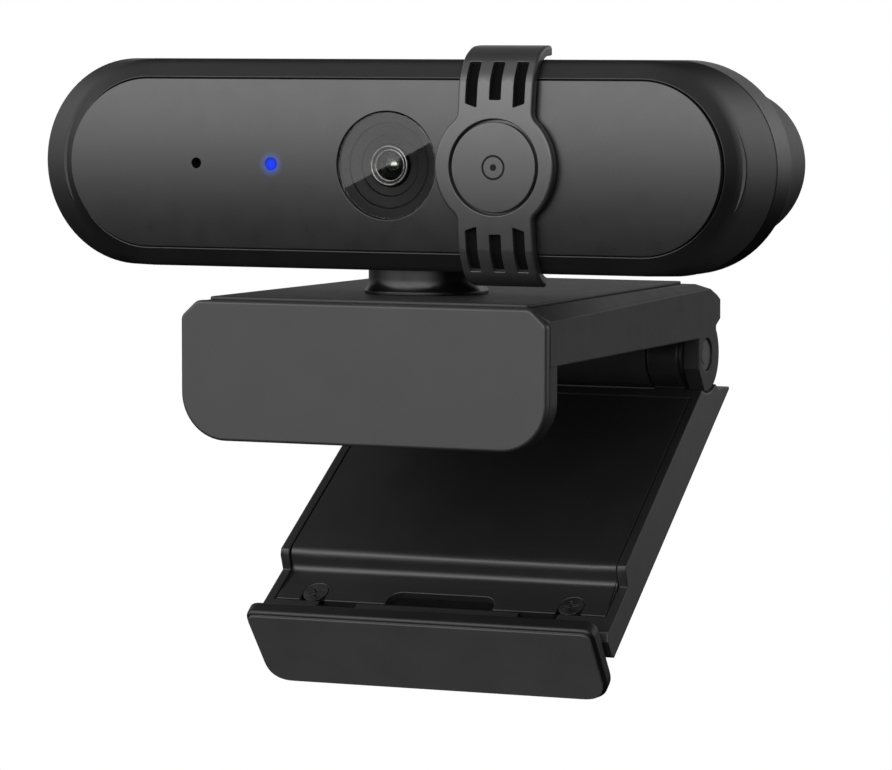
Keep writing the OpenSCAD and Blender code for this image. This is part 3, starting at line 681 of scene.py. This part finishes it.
def carve(piece: bpy.types.Object, cutters: Sequence[Shell]) -> bpy.types.Object:
    """Cuts closed shells out of a piece, with the exact solver, and keeps only the resulting mesh."""
    tool = new_mesh(piece.name + "_tool", cutters)
    cut = piece.modifiers.new("cut", "BOOLEAN")
    cut.object, cut.operation, cut.solver = tool, "DIFFERENCE", "EXACT"
    result = bpy.data.meshes.new_from_object(piece.evaluated_get(bpy.context.evaluated_depsgraph_get()))
    piece.modifiers.clear()
    piece.data = result
    result.polygons.foreach_set("use_smooth", np.ones(len(result.polygons), bool))
    result.set_sharp_from_angle(angle=SMOOTH_ANGLE)
    bpy.data.objects.remove(tool)
    even_shading(piece)
    return piece


def finish_piece(piece: bpy.types.Object, finish: Finish, body: str, slot: str, *nodes: str) -> None:
    """Dresses a piece, sets it on its body and says which nodes it stands for.

    Args:
        piece: the finished object.
        finish: its material.
        body: the moving body that it rides on.
        slot: the record's material slot; not used.
        nodes: the frame's nodes that it replaces.
    """
    piece.data.materials.clear()
    piece.data.materials.append(finish.material())
    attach(piece, body)
    if nodes:
        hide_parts(*nodes)
    faces = len(piece.data.polygons)
    log.info("%s: %d faces on %s, for %s", piece.name, faces, body, ", ".join(nodes) or "trim")


def add_piece(name: str, shells: Sequence[Shell], finish: Finish, body: str, slot: str, *nodes: str) -> None:
    """Makes a piece of closed shells and dresses it; the arguments are those of new_mesh and finish_piece."""
    finish_piece(new_mesh(name, shells), finish, body, slot, *nodes)


def welded(node: str, finish: Finish) -> None:
    """A copy of a frame node with its corners merged, so that its curved faces shade as curves."""
    source = frame["nodes"][node].data
    co = np.zeros(len(source.vertices) * 3)
    source.vertices.foreach_get("co", co)
    corner = np.zeros(len(source.loops), int)
    source.loops.foreach_get("vertex_index", corner)
    points, index = np.unique(np.round(co.reshape(-1, 3) / MM, 4), axis=0, return_inverse=True)
    faces = index.ravel()[corner].reshape(-1, 3)
    whole = (faces != np.roll(faces, 1, axis=1)).all(axis=1)
    row = next(part for part in frame["record"]["subparts"] if part["node"] == node)
    body = frame["nodes"][node]["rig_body"]
    skin = Shell(points, faces[whole].tolist())
    add_piece(node + "_skin", [skin], finish, body, row["material_slot"], node)


def joint(name: str) -> dict:
    """The record's joint of that name."""
    return next(j for j in frame["joints"] if j["name"] == name)


def millimetres(point: Sequence[float]) -> Array:
    """A point of the frame in millimetres."""
    return np.array(point, float) / MM


# ---------- sub-assemblies ----------


@dataclass
class Crown:
    """The gently crowned front: a cylinder about a level axis, seen from the middle of the lens window."""

    half_height: float = 10.7
    fall: float = 0.85

    @property
    def radius(self) -> float:
        """Radius of the crown, from its half height and how far it falls away at the edge."""
        return (self.half_height ** 2 + self.fall ** 2) / (2 * self.fall)

    def depth(self, lift: float, height: Array) -> Array:
        """Depth at a height: the radius less the root of the lifted radius squared less the height squared."""
        return self.radius - np.sqrt((self.radius + lift) ** 2 - height ** 2)


@dataclass
class CameraHead:
    """The pill-shaped head: crowned panel, bezel, middle shell, rear housing, light and microphone."""

    crown: Crown = field(default_factory=Crown)
    half_len: float = 50.0
    radius: float = 13.14
    panel_half_len: float = 44.27
    panel_r: float = 10.7
    ridge_half_len: float = 46.0
    ridge_y: float = 2.4
    seam_y: float = 4.25
    step_y: float = 10.0
    back_y: float = 26.2
    wall: float = 1.5
    neck_hole_r: float = 8.2
    screw_x: float = 34.0
    pin_back: float = 12.4
    pin_down: float = 5.5

    @property
    def origin(self) -> Array:
        """Middle of the head's crowned front, which stands in front of the tilt pin and above it."""
        return millimetres(joint("tilt")["pos_m"]) + (0.0, -self.pin_back, self.pin_down)

    def on_panel(self, lift: float = 0.0) -> Place:
        """Places a plate on the crowned front: across, up, and back from a lift in front of the panel."""
        def place(a: Array, b: Array, t: Array) -> Array:
            """Across, the crown's depth plus the plate's own, and up."""
            return joined(a, self.crown.depth(lift, b) + t, b) + self.origin
        return place

    def bore(self, node: str, clearance: float) -> Rim:
        """A round hole in the panel for a node that shows through it."""
        low, high = (millimetres(corner) - self.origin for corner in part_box(node))
        return Rim(circle(clearance, ((low[0] + high[0]) / 2, 0.0), 48)[::-1], 0.08)

    def panel(self) -> None:
        """The crowned front panel with its holes for the window, the light and the microphone."""
        outline = stadium(self.panel_half_len - 0.04, self.panel_r - 0.04)
        outline = subdivided(outline, 2.0)
        holes = [Rim(circle(6.74)[::-1], 0.10), self.bore("status_light", 0.80), self.bore("microphone", 0.65)]
        shell = slab([Rim(outline, 0.12), *holes], 1.6, self.on_panel(), (2.0, 0.8), 0.05)
        add_piece("front_panel_face", [shell], Finish.PANEL, "head", "panel_plastic", "front_panel")

    def bezel(self) -> None:
        """The bezel: a chamfer up to a ridge, a crescent at each end, and a tongue behind."""
        lip, edge = 0.02, self.half_len
        corners = [
            (self.panel_half_len + lip, self.panel_r + lip, 2.4),
            (self.panel_half_len + lip, self.panel_r + lip, 0.90),
            (self.panel_half_len + 0.16, self.panel_r + 0.16, 0.80),
            (self.ridge_half_len, self.radius, self.ridge_y),
            (edge, self.radius, self.seam_y - 0.08),
            (edge - 0.45, self.radius - 0.45, self.seam_y),
            (edge - 1.7, self.radius - 1.7, self.seam_y),
            (edge - 1.7, self.radius - 1.7, self.seam_y + 0.3),
            (edge - 3.4, self.radius - 3.2, self.seam_y + 0.3),
            (edge - 3.4, self.radius - 3.2, 2.4),
        ]
        reach = [0.1, 0.08, 0.12, 1.0, 0.25, 0.1, 0.1, 0.1, 0.1, 0.1]
        chain = rounded(corners, reach, steps=6)
        ring = bar_shell(chain, self.origin, ends=False)
        add_piece("front_bezel_ring", [ring], Finish.SHELL, "head", "shell_plastic", "front_bezel")

    def neck_hole(self) -> list[Shell]:
        """The slot in the head's floor that the neck swings in as the head tilts."""
        neck_y = -self.origin[1]
        tall = np.array([[self.neck_hole_r, -self.radius - 3.0], [self.neck_hole_r, -7.1]])
        post = revolved(tall, self.origin + (0, neck_y, 0), "z")
        side = [(-self.neck_hole_r, neck_y), (self.neck_hole_r, neck_y), (self.neck_hole_r, neck_y + 10.2),
                (-self.neck_hole_r, neck_y + 10.2)]
        flat = rounded(side, 0.6)
        rows = [np.column_stack([flat, np.full(len(flat), z)]) for z in (-self.radius - 3.0, -7.1)]
        return [post, grid_shell(np.stack(rows) + self.origin)]

    def middle(self) -> None:
        """The middle shell: a plain band with a soft rear corner and an inner flange."""
        edge, radius = self.half_len - 0.2, self.radius - 0.04
        corners = [
            (edge, radius, self.seam_y + 0.25), (edge, radius, self.step_y),
            (46.4, 8.6, self.step_y), (46.4, 8.6, self.step_y - 1.2),
            (edge - 1.4, radius - 1.4, self.step_y - 1.2), (edge - 1.4, radius - 1.4, self.seam_y + 0.25),
        ]
        chain = rounded(corners, [0.22, 0.7, 0.1, 0.1, 0.1, 0.1], steps=6)
        made = new_mesh("mid_shell_band", [bar_shell(chain, self.origin, ends=False)])
        finish_piece(carve(made, self.neck_hole()[:1]), Finish.SHELL, "head", "shell_plastic", "mid_shell")

    def rear(self) -> None:
        """The rear housing: a tapering cup with a rounded back, two screw wells and the cord's hole."""
        outer = [(self.half_len - 0.7, 10.4, self.step_y + 0.05), (46.6, 9.4, self.back_y - 1.9),
                 (44.7, 7.5, self.back_y)]
        inner = [(42.0, 6.0, self.back_y - self.wall), (45.1, 7.9, self.back_y - self.wall),
                 (self.half_len - 2.2, 8.9, self.step_y + 0.05)]
        reach = [0, 0.8, 0.1, 0.2, 2.6, 1.6, 0]
        chain = rounded([*inner, *outer, (20.0, 2.0, self.back_y)], reach, closed=False)
        made = new_mesh("rear_housing_cup", [bar_shell(chain, self.origin, ends=True)])
        well = np.array([[0.85, self.back_y - 2.5], [0.85, self.back_y - 1.0], [1.85, self.back_y - 1.0],
                         [1.85, self.back_y - 0.25], [2.15, self.back_y + 1.0]])
        cord = np.array([[2.6, self.back_y - 4.0], [2.6, self.back_y + 1.0]])
        cutters = [revolved(well, self.origin + (x, 0, 0)) for x in (-self.screw_x, self.screw_x)]
        post, slot = self.neck_hole()
        carve(made, [*cutters, revolved(cord, self.origin), slot])
        finish_piece(carve(made, [post]), Finish.REAR, "head", "shell_plastic", "rear_housing")

    def bosses(self) -> None:
        """The two pillars inside the head that the case screws run through."""
        start, stop = 7.3, self.back_y - self.wall
        ring = rounded([(0.85, start), (2.6, start), (2.6, stop), (0.85, stop)], 0.1)
        shells = [revolved(ring, self.origin + (x, 0, 0), ring=True) for x in (-self.screw_x, self.screw_x)]
        add_piece("case_screw_pillars", shells, Finish.INNER, "head", "shell_plastic")

    def build(self) -> None:
        """Makes the head's own pieces."""
        self.panel()
        self.bezel()
        self.middle()
        self.rear()
        self.bosses()


@dataclass
class Lens:
    """The lens behind its round window: stepped recess, barrel, bright ring and domed front glass."""

    head: CameraHead
    window_r: float = 6.65
    window_y: float = 0.25
    steps: tuple[float, ...] = (5.25, 3.75, 2.62)

    def window(self) -> None:
        """The flat window glass with a fine ground edge."""
        def place(a: Array, b: Array, t: Array) -> Array:
            """Across, back and up from the window's middle."""
            return joined(a, self.window_y + t, b) + self.head.origin
        shell = slab([Rim(circle(self.window_r), 0.12)], 0.42, place)
        add_piece("lens_window_glass", [shell], Finish.WINDOW, "head", "window_glass", "lens_window")

    def recess(self) -> None:
        """The black recess: three shallow cones, each ending in a small riser."""
        face = [(self.window_r - 0.02, 0.72)]
        for k, radius in enumerate(self.steps):
            face += [(radius + 0.12, 0.80 + 0.34 * k), (radius, 1.05 + 0.34 * k)]
        profile = rounded([*face, (self.steps[-1], 2.45), (self.window_r - 0.02, 2.45)], 0.05, steps=3)
        shell = revolved(profile, self.head.origin, ring=True)
        add_piece("lens_recess", [shell], Finish.RECESS, "head", "lens_black", "lens_surround")

    def barrel(self) -> None:
        """The barrel's stepped mouth, with the bright ring round it and a fine one inside."""
        corners = [(2.52, 1.30), (2.52, 3.2), (1.2, 3.2), (1.2, 2.1), (1.86, 1.75), (1.95, 1.30), (2.2, 1.18)]
        mouth = revolved(rounded(corners, 0.06, steps=3), self.head.origin, ring=True)
        add_piece("lens_barrel_mouth", [mouth], Finish.BARREL, "head", "lens_black", "lens_barrel")
        outer = rounded([(2.50, 0.98), (2.50, 1.28), (2.28, 1.28), (2.28, 0.98), (2.39, 0.90)], 0.07, steps=4)
        inner = rounded([(1.98, 1.20), (1.98, 1.42), (1.84, 1.42), (1.84, 1.24), (1.90, 1.18)], 0.04, steps=3)
        rings = [revolved(p, self.head.origin, ring=True) for p in (outer, inner)]
        add_piece("lens_rings", rings, Finish.RING, "head", "bright_ring", "lens_trim_ring")

    def glass(self) -> None:
        """The domed front glass and a smaller one behind it, each a spherical cap over a flat back."""
        def cap(radius: float, dome: float, front: float) -> Shell:
            """A spherical cap: radius and depth follow the sine and cosine of the angle from the pole."""
            lean = np.linspace(0.02, math.asin(radius / dome), 14)
            line = np.column_stack([dome * np.sin(lean), front + dome * (1 - np.cos(lean))])
            return revolved(np.concatenate([line, [[radius, line[-1, 1] + 0.1]]]), self.head.origin)
        add_piece("lens_glass", [cap(1.80, 2.5, 0.98)], Finish.OPTIC, "head", "lens_glass", "lens_element")
        add_piece("lens_coated_cap", [cap(0.85, 1.15, 1.95)], Finish.COAT, "head", "lens_glass")

    def build(self) -> None:
        """Makes the lens's pieces."""
        self.window()
        self.recess()
        self.barrel()
        self.glass()


@dataclass
class PrivacyCover:
    """The sliding cover: a slotted band with a round middle, crowned in front and hooked over both edges."""

    head: CameraHead
    half_w: float = 5.0
    disc_r: float = 7.95
    button_r: float = 5.6
    groove_r: float = 5.93
    thick: float = 1.25
    lift: float = 1.5
    slot_w: float = 1.5
    slot_pitch: float = 3.17

    def __post_init__(self) -> None:
        """Works out the band's side line once, with its running length."""
        height = np.linspace(0, 10.4, 27)
        front = np.column_stack([self.head.crown.depth(self.lift, height), height])
        bend = front[-1] + np.array([0.30, 0.85])
        hooks = ([(1.05, 13.65), (3.3, 14.78), (5.8, 14.9)], [(1.05, 13.65), (3.0, 14.72), (4.2, 14.86)])
        upper, lower = (rounded([front[-1], bend, *hook], [0, 0.8, 1.1, 0.9, 0], closed=False, steps=10)
                        for hook in hooks)
        half = [np.concatenate([front[:-1], line]) for line in (upper, lower)]
        low = half[1][::-1] * (1, -1)
        self.side = SideLine(np.concatenate([low[:-1], half[0]]))
        self.side.run -= np.interp(0, self.side.line[:, 1], self.side.run)
        self.centre_x = float(sum(millimetres(corner)[0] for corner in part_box("privacy_cover")) / 2)

    def reach(self, height: float) -> float:
        """Length along the band at which it stands at a height."""
        return float(np.interp(height, self.side.line[:, 1], self.side.run))

    def place(self, a: Array, b: Array, t: Array) -> Array:
        """Across, along the side line, and in from it along its own normal."""
        return joined(a + self.centre_x - self.head.origin[0], *self.side.at(b, t)) + self.head.origin

    def outline(self) -> Array:
        """The band's outline: straight sides with small end corners, and the disc's arcs between them."""
        meet = math.acos(self.half_w / self.disc_r)
        arc = np.linspace(-meet + 0.17, meet - 0.17, 37)
        right = np.column_stack([self.disc_r * np.cos(arc), self.disc_r * np.sin(arc)])
        corner = (self.half_w, self.disc_r * math.sin(meet))
        beside = (self.half_w, corner[1] + 1.3)
        ends = self.side.run[[-1, 0]]
        below = [(self.half_w, ends[1]), (beside[0], -beside[1]), (corner[0], -corner[1])]
        side = np.concatenate([below, right, [corner, beside, (self.half_w, ends[0])]])
        reach = np.concatenate([[0.9, 0.0, 0.9], np.zeros(len(right)), [0.9, 0.0, 0.9]])
        left = side[::-1] * (-1, 1)
        return subdivided(rounded(np.concatenate([side, left]), np.tile(reach, 2)), 0.45)

    def slots(self) -> list[Rim]:
        """Six slots, three to each end; the outer ones' inner ends slant with the disc."""
        rims = []
        for end in (1, -1):
            far = self.reach(end * 12.9)
            for x, near, slant in ((-1, 7.6, -0.25), (0, 8.3, 0.0), (1, 7.6, 0.25)):
                middle, half = x * self.slot_pitch, self.slot_w / 2
                corners = [(middle - half, end * (near - slant)), (middle + half, end * (near + slant)),
                           (middle + half, far), (middle - half, far)]
                loop = subdivided(rounded(corners, 0.16, steps=3), 0.45)
                rims.append(Rim(loop[::-1] if end > 0 else loop, 0.10))
        return rims

    def band(self) -> None:
        """The cover's body, with its slots and the round seat of the button."""
        rims = [Rim(self.outline(), 0.42), *self.slots(), Rim(circle(self.groove_r)[::-1], 0.12)]
        shell = slab(rims, self.thick, self.place, (1.2, 0.55), 0.2)
        add_piece("privacy_cover_band", [shell], Finish.COVER, "cover", "cover_plastic", "privacy_cover")

    def shade_sheets(self) -> None:
        """Black sheets set into the slots: they keep what slides past behind them out of sight, and their black
        stands in for the shade inside the slots.
        """
        # Painted shade: near-black felt sheets under the slots, standing in for the shadow there.
        shells = [slab([Rim(rim.points[::-1], 0.02)], 0.5,
                       lambda a, b, t: self.place(a, b, t + 0.62), (0.7, 0.7)) for rim in self.slots()]
        add_piece("cover_slot_shade_sheets", shells, Finish.FELT, "cover", "felt")

    def button(self) -> None:
        """The round button, flush with the band, on a wider flange at the bottom of the groove."""
        face = slab([Rim(circle(self.button_r), 0.16)], 0.9, self.place, (1.0, 0.8))
        flange = slab([Rim(circle(self.groove_r - 0.02), 0.02)], 0.4,
                      lambda a, b, t: self.place(a, b, t + 0.82), (1.0, 0.8))
        add_piece("cover_button", [face, flange], Finish.COVER, "cover", "cover_plastic", "cover_disc")

    def mark(self) -> None:
        """A plain generic mark: an inked ring with a dot in its middle."""
        def place(a: Array, b: Array, t: Array) -> Array:
            """Just proud of the button's face."""
            return self.place(a, b, t - 0.015)
        ring = slab([Rim(circle(1.55, count=64), 0.004), Rim(circle(1.28, count=64)[::-1], 0.004)], 0.05, place)
        dot = slab([Rim(circle(0.42, count=32), 0.004)], 0.05, place)
        add_piece("cover_mark", [ring, dot], Finish.MARK, "cover", "cover_plastic")

    def build(self) -> None:
        """Makes the cover's pieces."""
        self.band()
        self.shade_sheets()
        self.button()
        self.mark()


@dataclass
class Clip:
    """The clip's front plate, the inlaid top plate and the bracket that carries them."""

    corner_r: float = 6.0
    bevel: tuple[float, float] = (2.2, 2.0)

    def cover_plate(self) -> None:
        """The front plate: bevelled above, round below, with softened edges and two pegs behind."""
        low, high = (millimetres(corner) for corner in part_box("cover_plate"))
        side, rise = self.bevel
        turn = np.linspace(-np.pi / 2, 0, 17)
        bend = self.corner_r * np.column_stack([np.cos(turn) - 1, np.sin(turn) + 1])
        right = np.array([high[0], low[2]]) + bend
        top = [(high[0], high[2] - rise), (high[0] - side, high[2]),
               (low[0] + side, high[2]), (low[0], high[2] - rise)]
        corners = np.concatenate([right, top, right[::-1] * (-1, 1)])
        outline = rounded(corners, np.repeat([0.0, 0.5, 0.0], [17, 4, 17]))

        def place(a: Array, b: Array, t: Array) -> Array:
            """Across, back from the plate's face, and up."""
            return joined(a, low[1] + t, b)
        plate = slab([Rim(outline, 0.38)], 1.2, place, back_edge=0.1)
        add_piece("cover_plate_face", [plate], Finish.PLATE, "clip", "plate_plastic", "cover_plate")

    def top_plate(self) -> None:
        """The thin plate let into the bracket's top, narrower at the rear, with the neck's hole."""
        low, high = (millimetres(corner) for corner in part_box("top_plate"))
        taper = 1.6 / 59.1 * (high[1] - low[1])
        corners = [(low[0], low[1]), (high[0], low[1]), (high[0] - taper, high[1]), (low[0] + taper, high[1])]

        def place(a: Array, b: Array, t: Array) -> Array:
            """Across, back, and down from the plate's face."""
            return joined(a, b, high[2] - t)
        rims = [Rim(rounded(corners, 0.6), 0.12), Rim(circle(4.2)[::-1], 0.05)]
        plate = slab(rims, high[2] - low[2], place, back_edge=0.02)
        add_piece("top_plate_face", [plate], Finish.CLIP, "clip", "clip_plastic", "top_plate")

    def build(self) -> None:
        """Makes the clip's pieces."""
        self.cover_plate()
        self.top_plate()
        welded("clip_bracket", Finish.CLIP)
        welded("base_plate", Finish.CLIP)
        welded("rest_pad", Finish.RUBBER)
        welded("lip_pad", Finish.RUBBER)


@dataclass
class Leg:
    """The folding leg: its stepped panel, set into the frame, and the swinging foot with its soft pad."""

    front: float = 2.5
    low_front: float = 5.15
    step_u: float = 40.6
    end_u: float = 46.7
    foot_half_w: float = 24.2
    foot_lean: float = 2.9

    def __post_init__(self) -> None:
        """Reads the hinge and works out the panel's side line with its running length."""
        hinge = joint("leg_fold")
        self.hinge = millimetres(hinge["pos_m"])
        self.angle = math.radians(-hinge["range_deg"][0])
        corners = [(6.2, -self.front), (self.step_u - 0.45, -self.front), (self.step_u + 0.35, -self.low_front),
                   (self.end_u, -self.low_front)]
        self.side = SideLine(rounded(corners, [0, 1.0, 0.9, 0], closed=False, steps=12))
        self.bottom = -float(self.side.run[-1])

    def in_leg(self, x: Array, u: Array, v: Array) -> Array:
        """A point at a distance down the leg and a height in front of its hinge, in the frame."""
        c, s = math.cos(self.angle), math.sin(self.angle)
        y, z = self.hinge[1] - u * c - v * s, self.hinge[2] - u * s + v * c
        return joined(x, y, z)

    def on_panel(self, a: Array, b: Array, t: Array) -> Array:
        """Across, back up the side line, and in from it along its own normal."""
        return self.in_leg(a, *self.side.at(-b, t))

    def along(self, u: float) -> float:
        """Length along the side line at a distance from the hinge, downwards as a negative number."""
        return -float(np.interp(u, self.side.line[:, 0], self.side.run))

    def notch(self, x: float, half_flat: float, u: float, radius: float) -> Array:
        """A round-topped notch in the panel's lower edge: an arc whose two halves stand apart by a flat.

        Args:
            x: middle of the notch.
            half_flat: half the length of the flat at its top.
            u: distance of the arc's centre from the hinge.
            radius: radius of the arc.

        Returns:
            Points from the notch's left end on the edge, over its top, to its right end.
        """
        turn = np.linspace(np.pi, 0, 25)
        across = x + np.where(np.cos(turn) > 0, half_flat, -half_flat) + radius * np.cos(turn)
        arc = np.column_stack([across, self.along(u) + radius * np.sin(turn)])
        return np.concatenate([[(across[0], self.bottom)], arc, [(across[-1], self.bottom)]])

    def panel(self) -> None:
        """The panel with its screw seats and its slot; the step's two edges are well rounded."""
        half = [23.2 + 0.026 * u - 1.35 for u in (6.2, self.end_u)]
        screw, slot = (17.9, 0.0, 45.2, 1.72), (0.0, 5.7, 46.1, 1.8)
        notches = [self.notch(-screw[0], *screw[1:]), self.notch(*slot), self.notch(*screw)]
        rest = [(half[1], self.bottom), (half[0], 0.0), (-half[0], 0.0)]
        corners = np.concatenate([[(-half[1], self.bottom)], *notches, rest])
        shell = slab([Rim(subdivided(corners, 0.5), 0.12)], 1.15, self.on_panel, (3.0, 0.7), 0.05)
        add_piece("leg_panel_face", [shell], Finish.LEG, "leg", "leg_plastic", "leg_panel")
        wide, low, high = 7.45, self.bottom + 0.02, self.along(44.4)
        pocket = rounded([(-wide, low), (wide, low), (wide, high), (-wide, high)], [0.2, 0.2, 1.6, 1.6])
        lining = slab([Rim(pocket, 0.02)], 0.2, lambda a, b, t: self.on_panel(a, b, t + 0.9), (1.0, 0.7))
        add_piece("leg_slot_lining", [lining], Finish.FELT, "leg", "felt")

    def in_foot(self, x: Array, y: Array, z: Array) -> Array:
        """A point of the foot, which leans a little against the leg, seen from its pin."""
        pin = millimetres(joint("foot_turn")["pos_m"])
        lean = self.angle + math.radians(self.foot_lean)
        c, s = math.cos(lean), math.sin(lean)
        return joined(x, pin[1] + y * c - z * s, pin[2] + y * s + z * c)

    def foot_outline(self, inset: float) -> Array:
        """The foot's outline: small corners above, rounder ones below, drawn in by an inset."""
        half, top, bottom = self.foot_half_w - inset, 5.5 - inset, -6.8 + inset
        corners = [(half - 0.3, bottom), (half, top), (-half, top), (-half + 0.3, bottom)]
        return rounded(corners, [3.6 - inset, 1.7 - inset, 1.7 - inset, 3.6 - inset], steps=12)

    def foot(self) -> None:
        """The foot's rim with its two ears, and the paler pad set into its front."""
        def plate(front: float) -> Place:
            """A plate across the foot whose face is at that depth."""
            return lambda a, b, t: self.in_foot(a, front + t, b)

        rim = slab([Rim(self.foot_outline(0.0), 0.55)], 2.05, plate(-4.25), back_edge=0.35)
        ear = rounded([(1.8, -1.8), (1.8, 1.8), (-2.6, 1.8), (-2.6, -1.8)], [2.4, 2.4, 0.5, 0.5])
        ears = [slab([Rim(ear, 0.12), Rim(circle(1.05, count=32)[::-1], 0.05)], 5.0,
                     lambda a, b, t, x=x: self.in_foot(x - t, a, b)) for x in (-11.5, 16.5)]
        add_piece("foot_flap_rim", [rim, *ears], Finish.RIM, "foot", "rubber", "foot_flap")
        pad = slab([Rim(self.foot_outline(0.42), 0.12)], 0.6, plate(-4.6))
        add_piece("foot_pad_face", [pad], Finish.FOOT, "foot", "foot_plastic", "foot_pad")

    def build(self) -> None:
        """Makes the leg's pieces."""
        self.panel()
        self.foot()
        welded("leg_frame", Finish.FRAME)


@dataclass
class Hardware:
    """The pieces whose frame shapes are right as they are: they only get their finishes."""

    dressed: dict[Finish, tuple[str, ...]] = field(default_factory=lambda: {
        Finish.STEEL: ("board_screws", "tilt_pin", "tilt_washers", "pan_washer", "pan_spring", "pan_screw",
                       "foot_pin"),
        Finish.DARK_STEEL: ("case_screws", "base_screws", "leg_screws", "hinge_pin", "hinge_washers",
                            "microphone"),
        Finish.BRASS: ("tripod_insert",),
        Finish.CREAM: ("board_connector", "light_chip"),
        Finish.EPOXY: ("processor_chip",),
        Finish.INNER: ("tilt_cradle",),
        Finish.BARREL: ("lens_holder",),
        Finish.MASK: ("main_board",),
        Finish.SENSOR: ("image_sensor",),
        Finish.FELT: ("cover_felt",),
        Finish.RUBBER: ("mic_gasket", "cable_grommet"),
        Finish.NECK: ("neck_post",),
        Finish.LIGHT: ("status_light",),
    })

    def build(self) -> None:
        """Dresses each piece in a welded copy, so that its round faces shade as round."""
        for finish, nodes in self.dressed.items():
            for node in nodes:
                welded(node, finish)


@dataclass
class Studio:
    """The camera, a white sweep to stand on, a soft sky of light and one small flag for the lens window."""

    eye: tuple[float, float, float] = (0.2389, -0.5327, 0.0422)
    look_down: float = 4.508
    look_left: float = 23.916
    focal: float = 186.5
    floor_z: float = -0.0600
    dome_r: float = 5000.0
    flag_slope: float = 28.0
    flag_size: float = 0.030
    brightness: float = 3.6
    heights: tuple[tuple[float, float], ...] = (
        (0.0, 0.03), (0.34, 0.0), (0.41, 0.05), (0.46, 0.27), (0.52, 0.66),
        (0.60, 1.0), (0.72, 1.05), (0.84, 0.45), (0.93, 0.18), (1.0, 0.15))

    def camera(self) -> None:
        """The camera, level with the clip and to its right."""
        data = bpy.data.cameras.new("view")
        data.lens, data.sensor_width = self.focal, 36.0
        data.clip_start, data.clip_end = 0.01, 50.0
        made = bpy.data.objects.new("view", data)
        made.location = self.eye
        made.rotation_euler = (math.radians(90 - self.look_down), 0, math.radians(self.look_left))
        bpy.context.scene.collection.objects.link(made)
        bpy.context.scene.camera = made

    def white(self) -> bpy.types.Material:
        """An even white that lights nothing else."""
        recipe = Recipe("sweep_white").set(Emission_Strength=1.0, Roughness=1.0)
        recipe.set(Base_Color=(0, 0, 0, 1), Emission_Color=(1, 1, 1, 1), Specular_IOR_Level=0.0)
        return recipe.material

    def sweep(self) -> None:
        """A round floor that turns up into a dome: rings whose radius and height follow a quarter circle."""
        lean = np.linspace(0, np.pi / 2 - 0.02, 24)[:, None]
        turn = np.linspace(0, 2 * np.pi, 64, endpoint=False)[None]
        reach = self.dome_r * np.cos(lean)
        height = self.floor_z / MM + self.dome_r * np.sin(lean)
        dome = joined(reach * np.cos(turn), reach * np.sin(turn), height)
        made = new_mesh("studio_sweep", [grid_shell(dome)])
        made.data.materials.append(self.white())
        self.unseen(made, "diffuse", "glossy", "transmission", "shadow", "volume_scatter")

    def unseen(self, piece: bpy.types.Object, *rays: str) -> None:
        """Hides a piece of the studio from some kinds of rays."""
        for ray in rays:
            setattr(piece, "visible_" + ray, False)

    def flag(self) -> None:
        """A small black card, out of view, that the window mirrors in its lower right half."""
        low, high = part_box("lens_window")
        window = Vector(((low.x + high.x) / 2, low.y, (low.z + high.z) / 2))
        mirrored = Vector((self.eye[0], 2 * window.y - self.eye[1], self.eye[2]))
        away = (window - mirrored).normalized()
        centre = window + (window - mirrored)
        right = Vector((0, 0, 1)).cross(away).normalized()
        up = away.cross(right)
        slope = math.radians(self.flag_slope)
        edge = (right * math.cos(slope) + up * math.sin(slope)) * self.flag_size
        down = (right * math.sin(slope) - up * math.cos(slope)) * self.flag_size
        corners = [centre - edge, centre + edge, centre + down + edge, centre + down - edge]
        mesh = bpy.data.meshes.new("studio_flag")
        mesh.from_pydata([tuple(corner) for corner in corners], [], [(0, 1, 2, 3)])
        made = bpy.data.objects.new("studio_flag", mesh)
        bpy.context.scene.collection.objects.link(made)
        recipe = Recipe("flag_black").set(Base_Color=(0.002, 0.002, 0.002, 1))
        recipe.set(Roughness=1.0, Specular_IOR_Level=0.0)
        made.data.materials.append(recipe.material)
        self.unseen(made, "camera", "diffuse")

    def sky(self) -> None:
        """Soft light from all round: bright in front and a little above, dimmer above, behind and below."""
        world = bpy.data.worlds.new("studio")
        bpy.context.scene.world = world
        tree = Tree(world)
        way = tree.add("SeparateXYZ", {0: tree.add("TexCoord").outputs["Generated"]}).outputs
        ramp = tree.add("ValToRGB", {0: tree.ranged(way["Z"], 0, 1, -1, 1)})
        ramp.color_ramp.interpolation = "EASE"
        stops = ramp.color_ramp.elements
        while len(stops) < len(self.heights):
            stops.new(0.5)
        for stop, (where, level) in zip(stops, self.heights):
            stop.position, stop.color = where, (level, level, level, 1)
        front = tree.maths("MULTIPLY", tree.ranged(way["Y"], 1.0, 0.11, -0.85, 0.15, "SMOOTHSTEP"),
                           tree.ranged(way["X"], 1.0, 0.12, 0.30, 0.85, "SMOOTHSTEP"))
        beside = tree.maths("MULTIPLY", tree.ranged(way["X"], 0.0, 0.26, 0.0, 0.45, "SMOOTHSTEP"),
                            tree.ranged(way["Y"], 0.0, 1.0, 0.1, 0.7, "SMOOTHSTEP"))
        level = tree.maths("MULTIPLY", ramp.outputs["Color"], tree.maths("ADD", front, beside))
        strength = tree.maths("MULTIPLY", level, self.brightness)
        background = tree.add("Background", {"Color": (1, 1, 1, 1), "Strength": strength})
        tree.add("OutputWorld", {"Surface": background.outputs[0]})

    def build(self) -> None:
        """Sets up the view and the light."""
        bpy.context.scene.view_settings.view_transform = "Standard"
        self.camera()
        self.sky()
        self.sweep()
        self.flag()


def main() -> None:
    logging.basicConfig(level=logging.INFO, format="%(name)s %(message)s")
    Studio().build()
    head = CameraHead()
    head.build()
    Lens(head).build()
    PrivacyCover(head).build()
    Clip().build()
    Leg().build()
    Hardware().build()


if __name__ == "__main__":
    main()
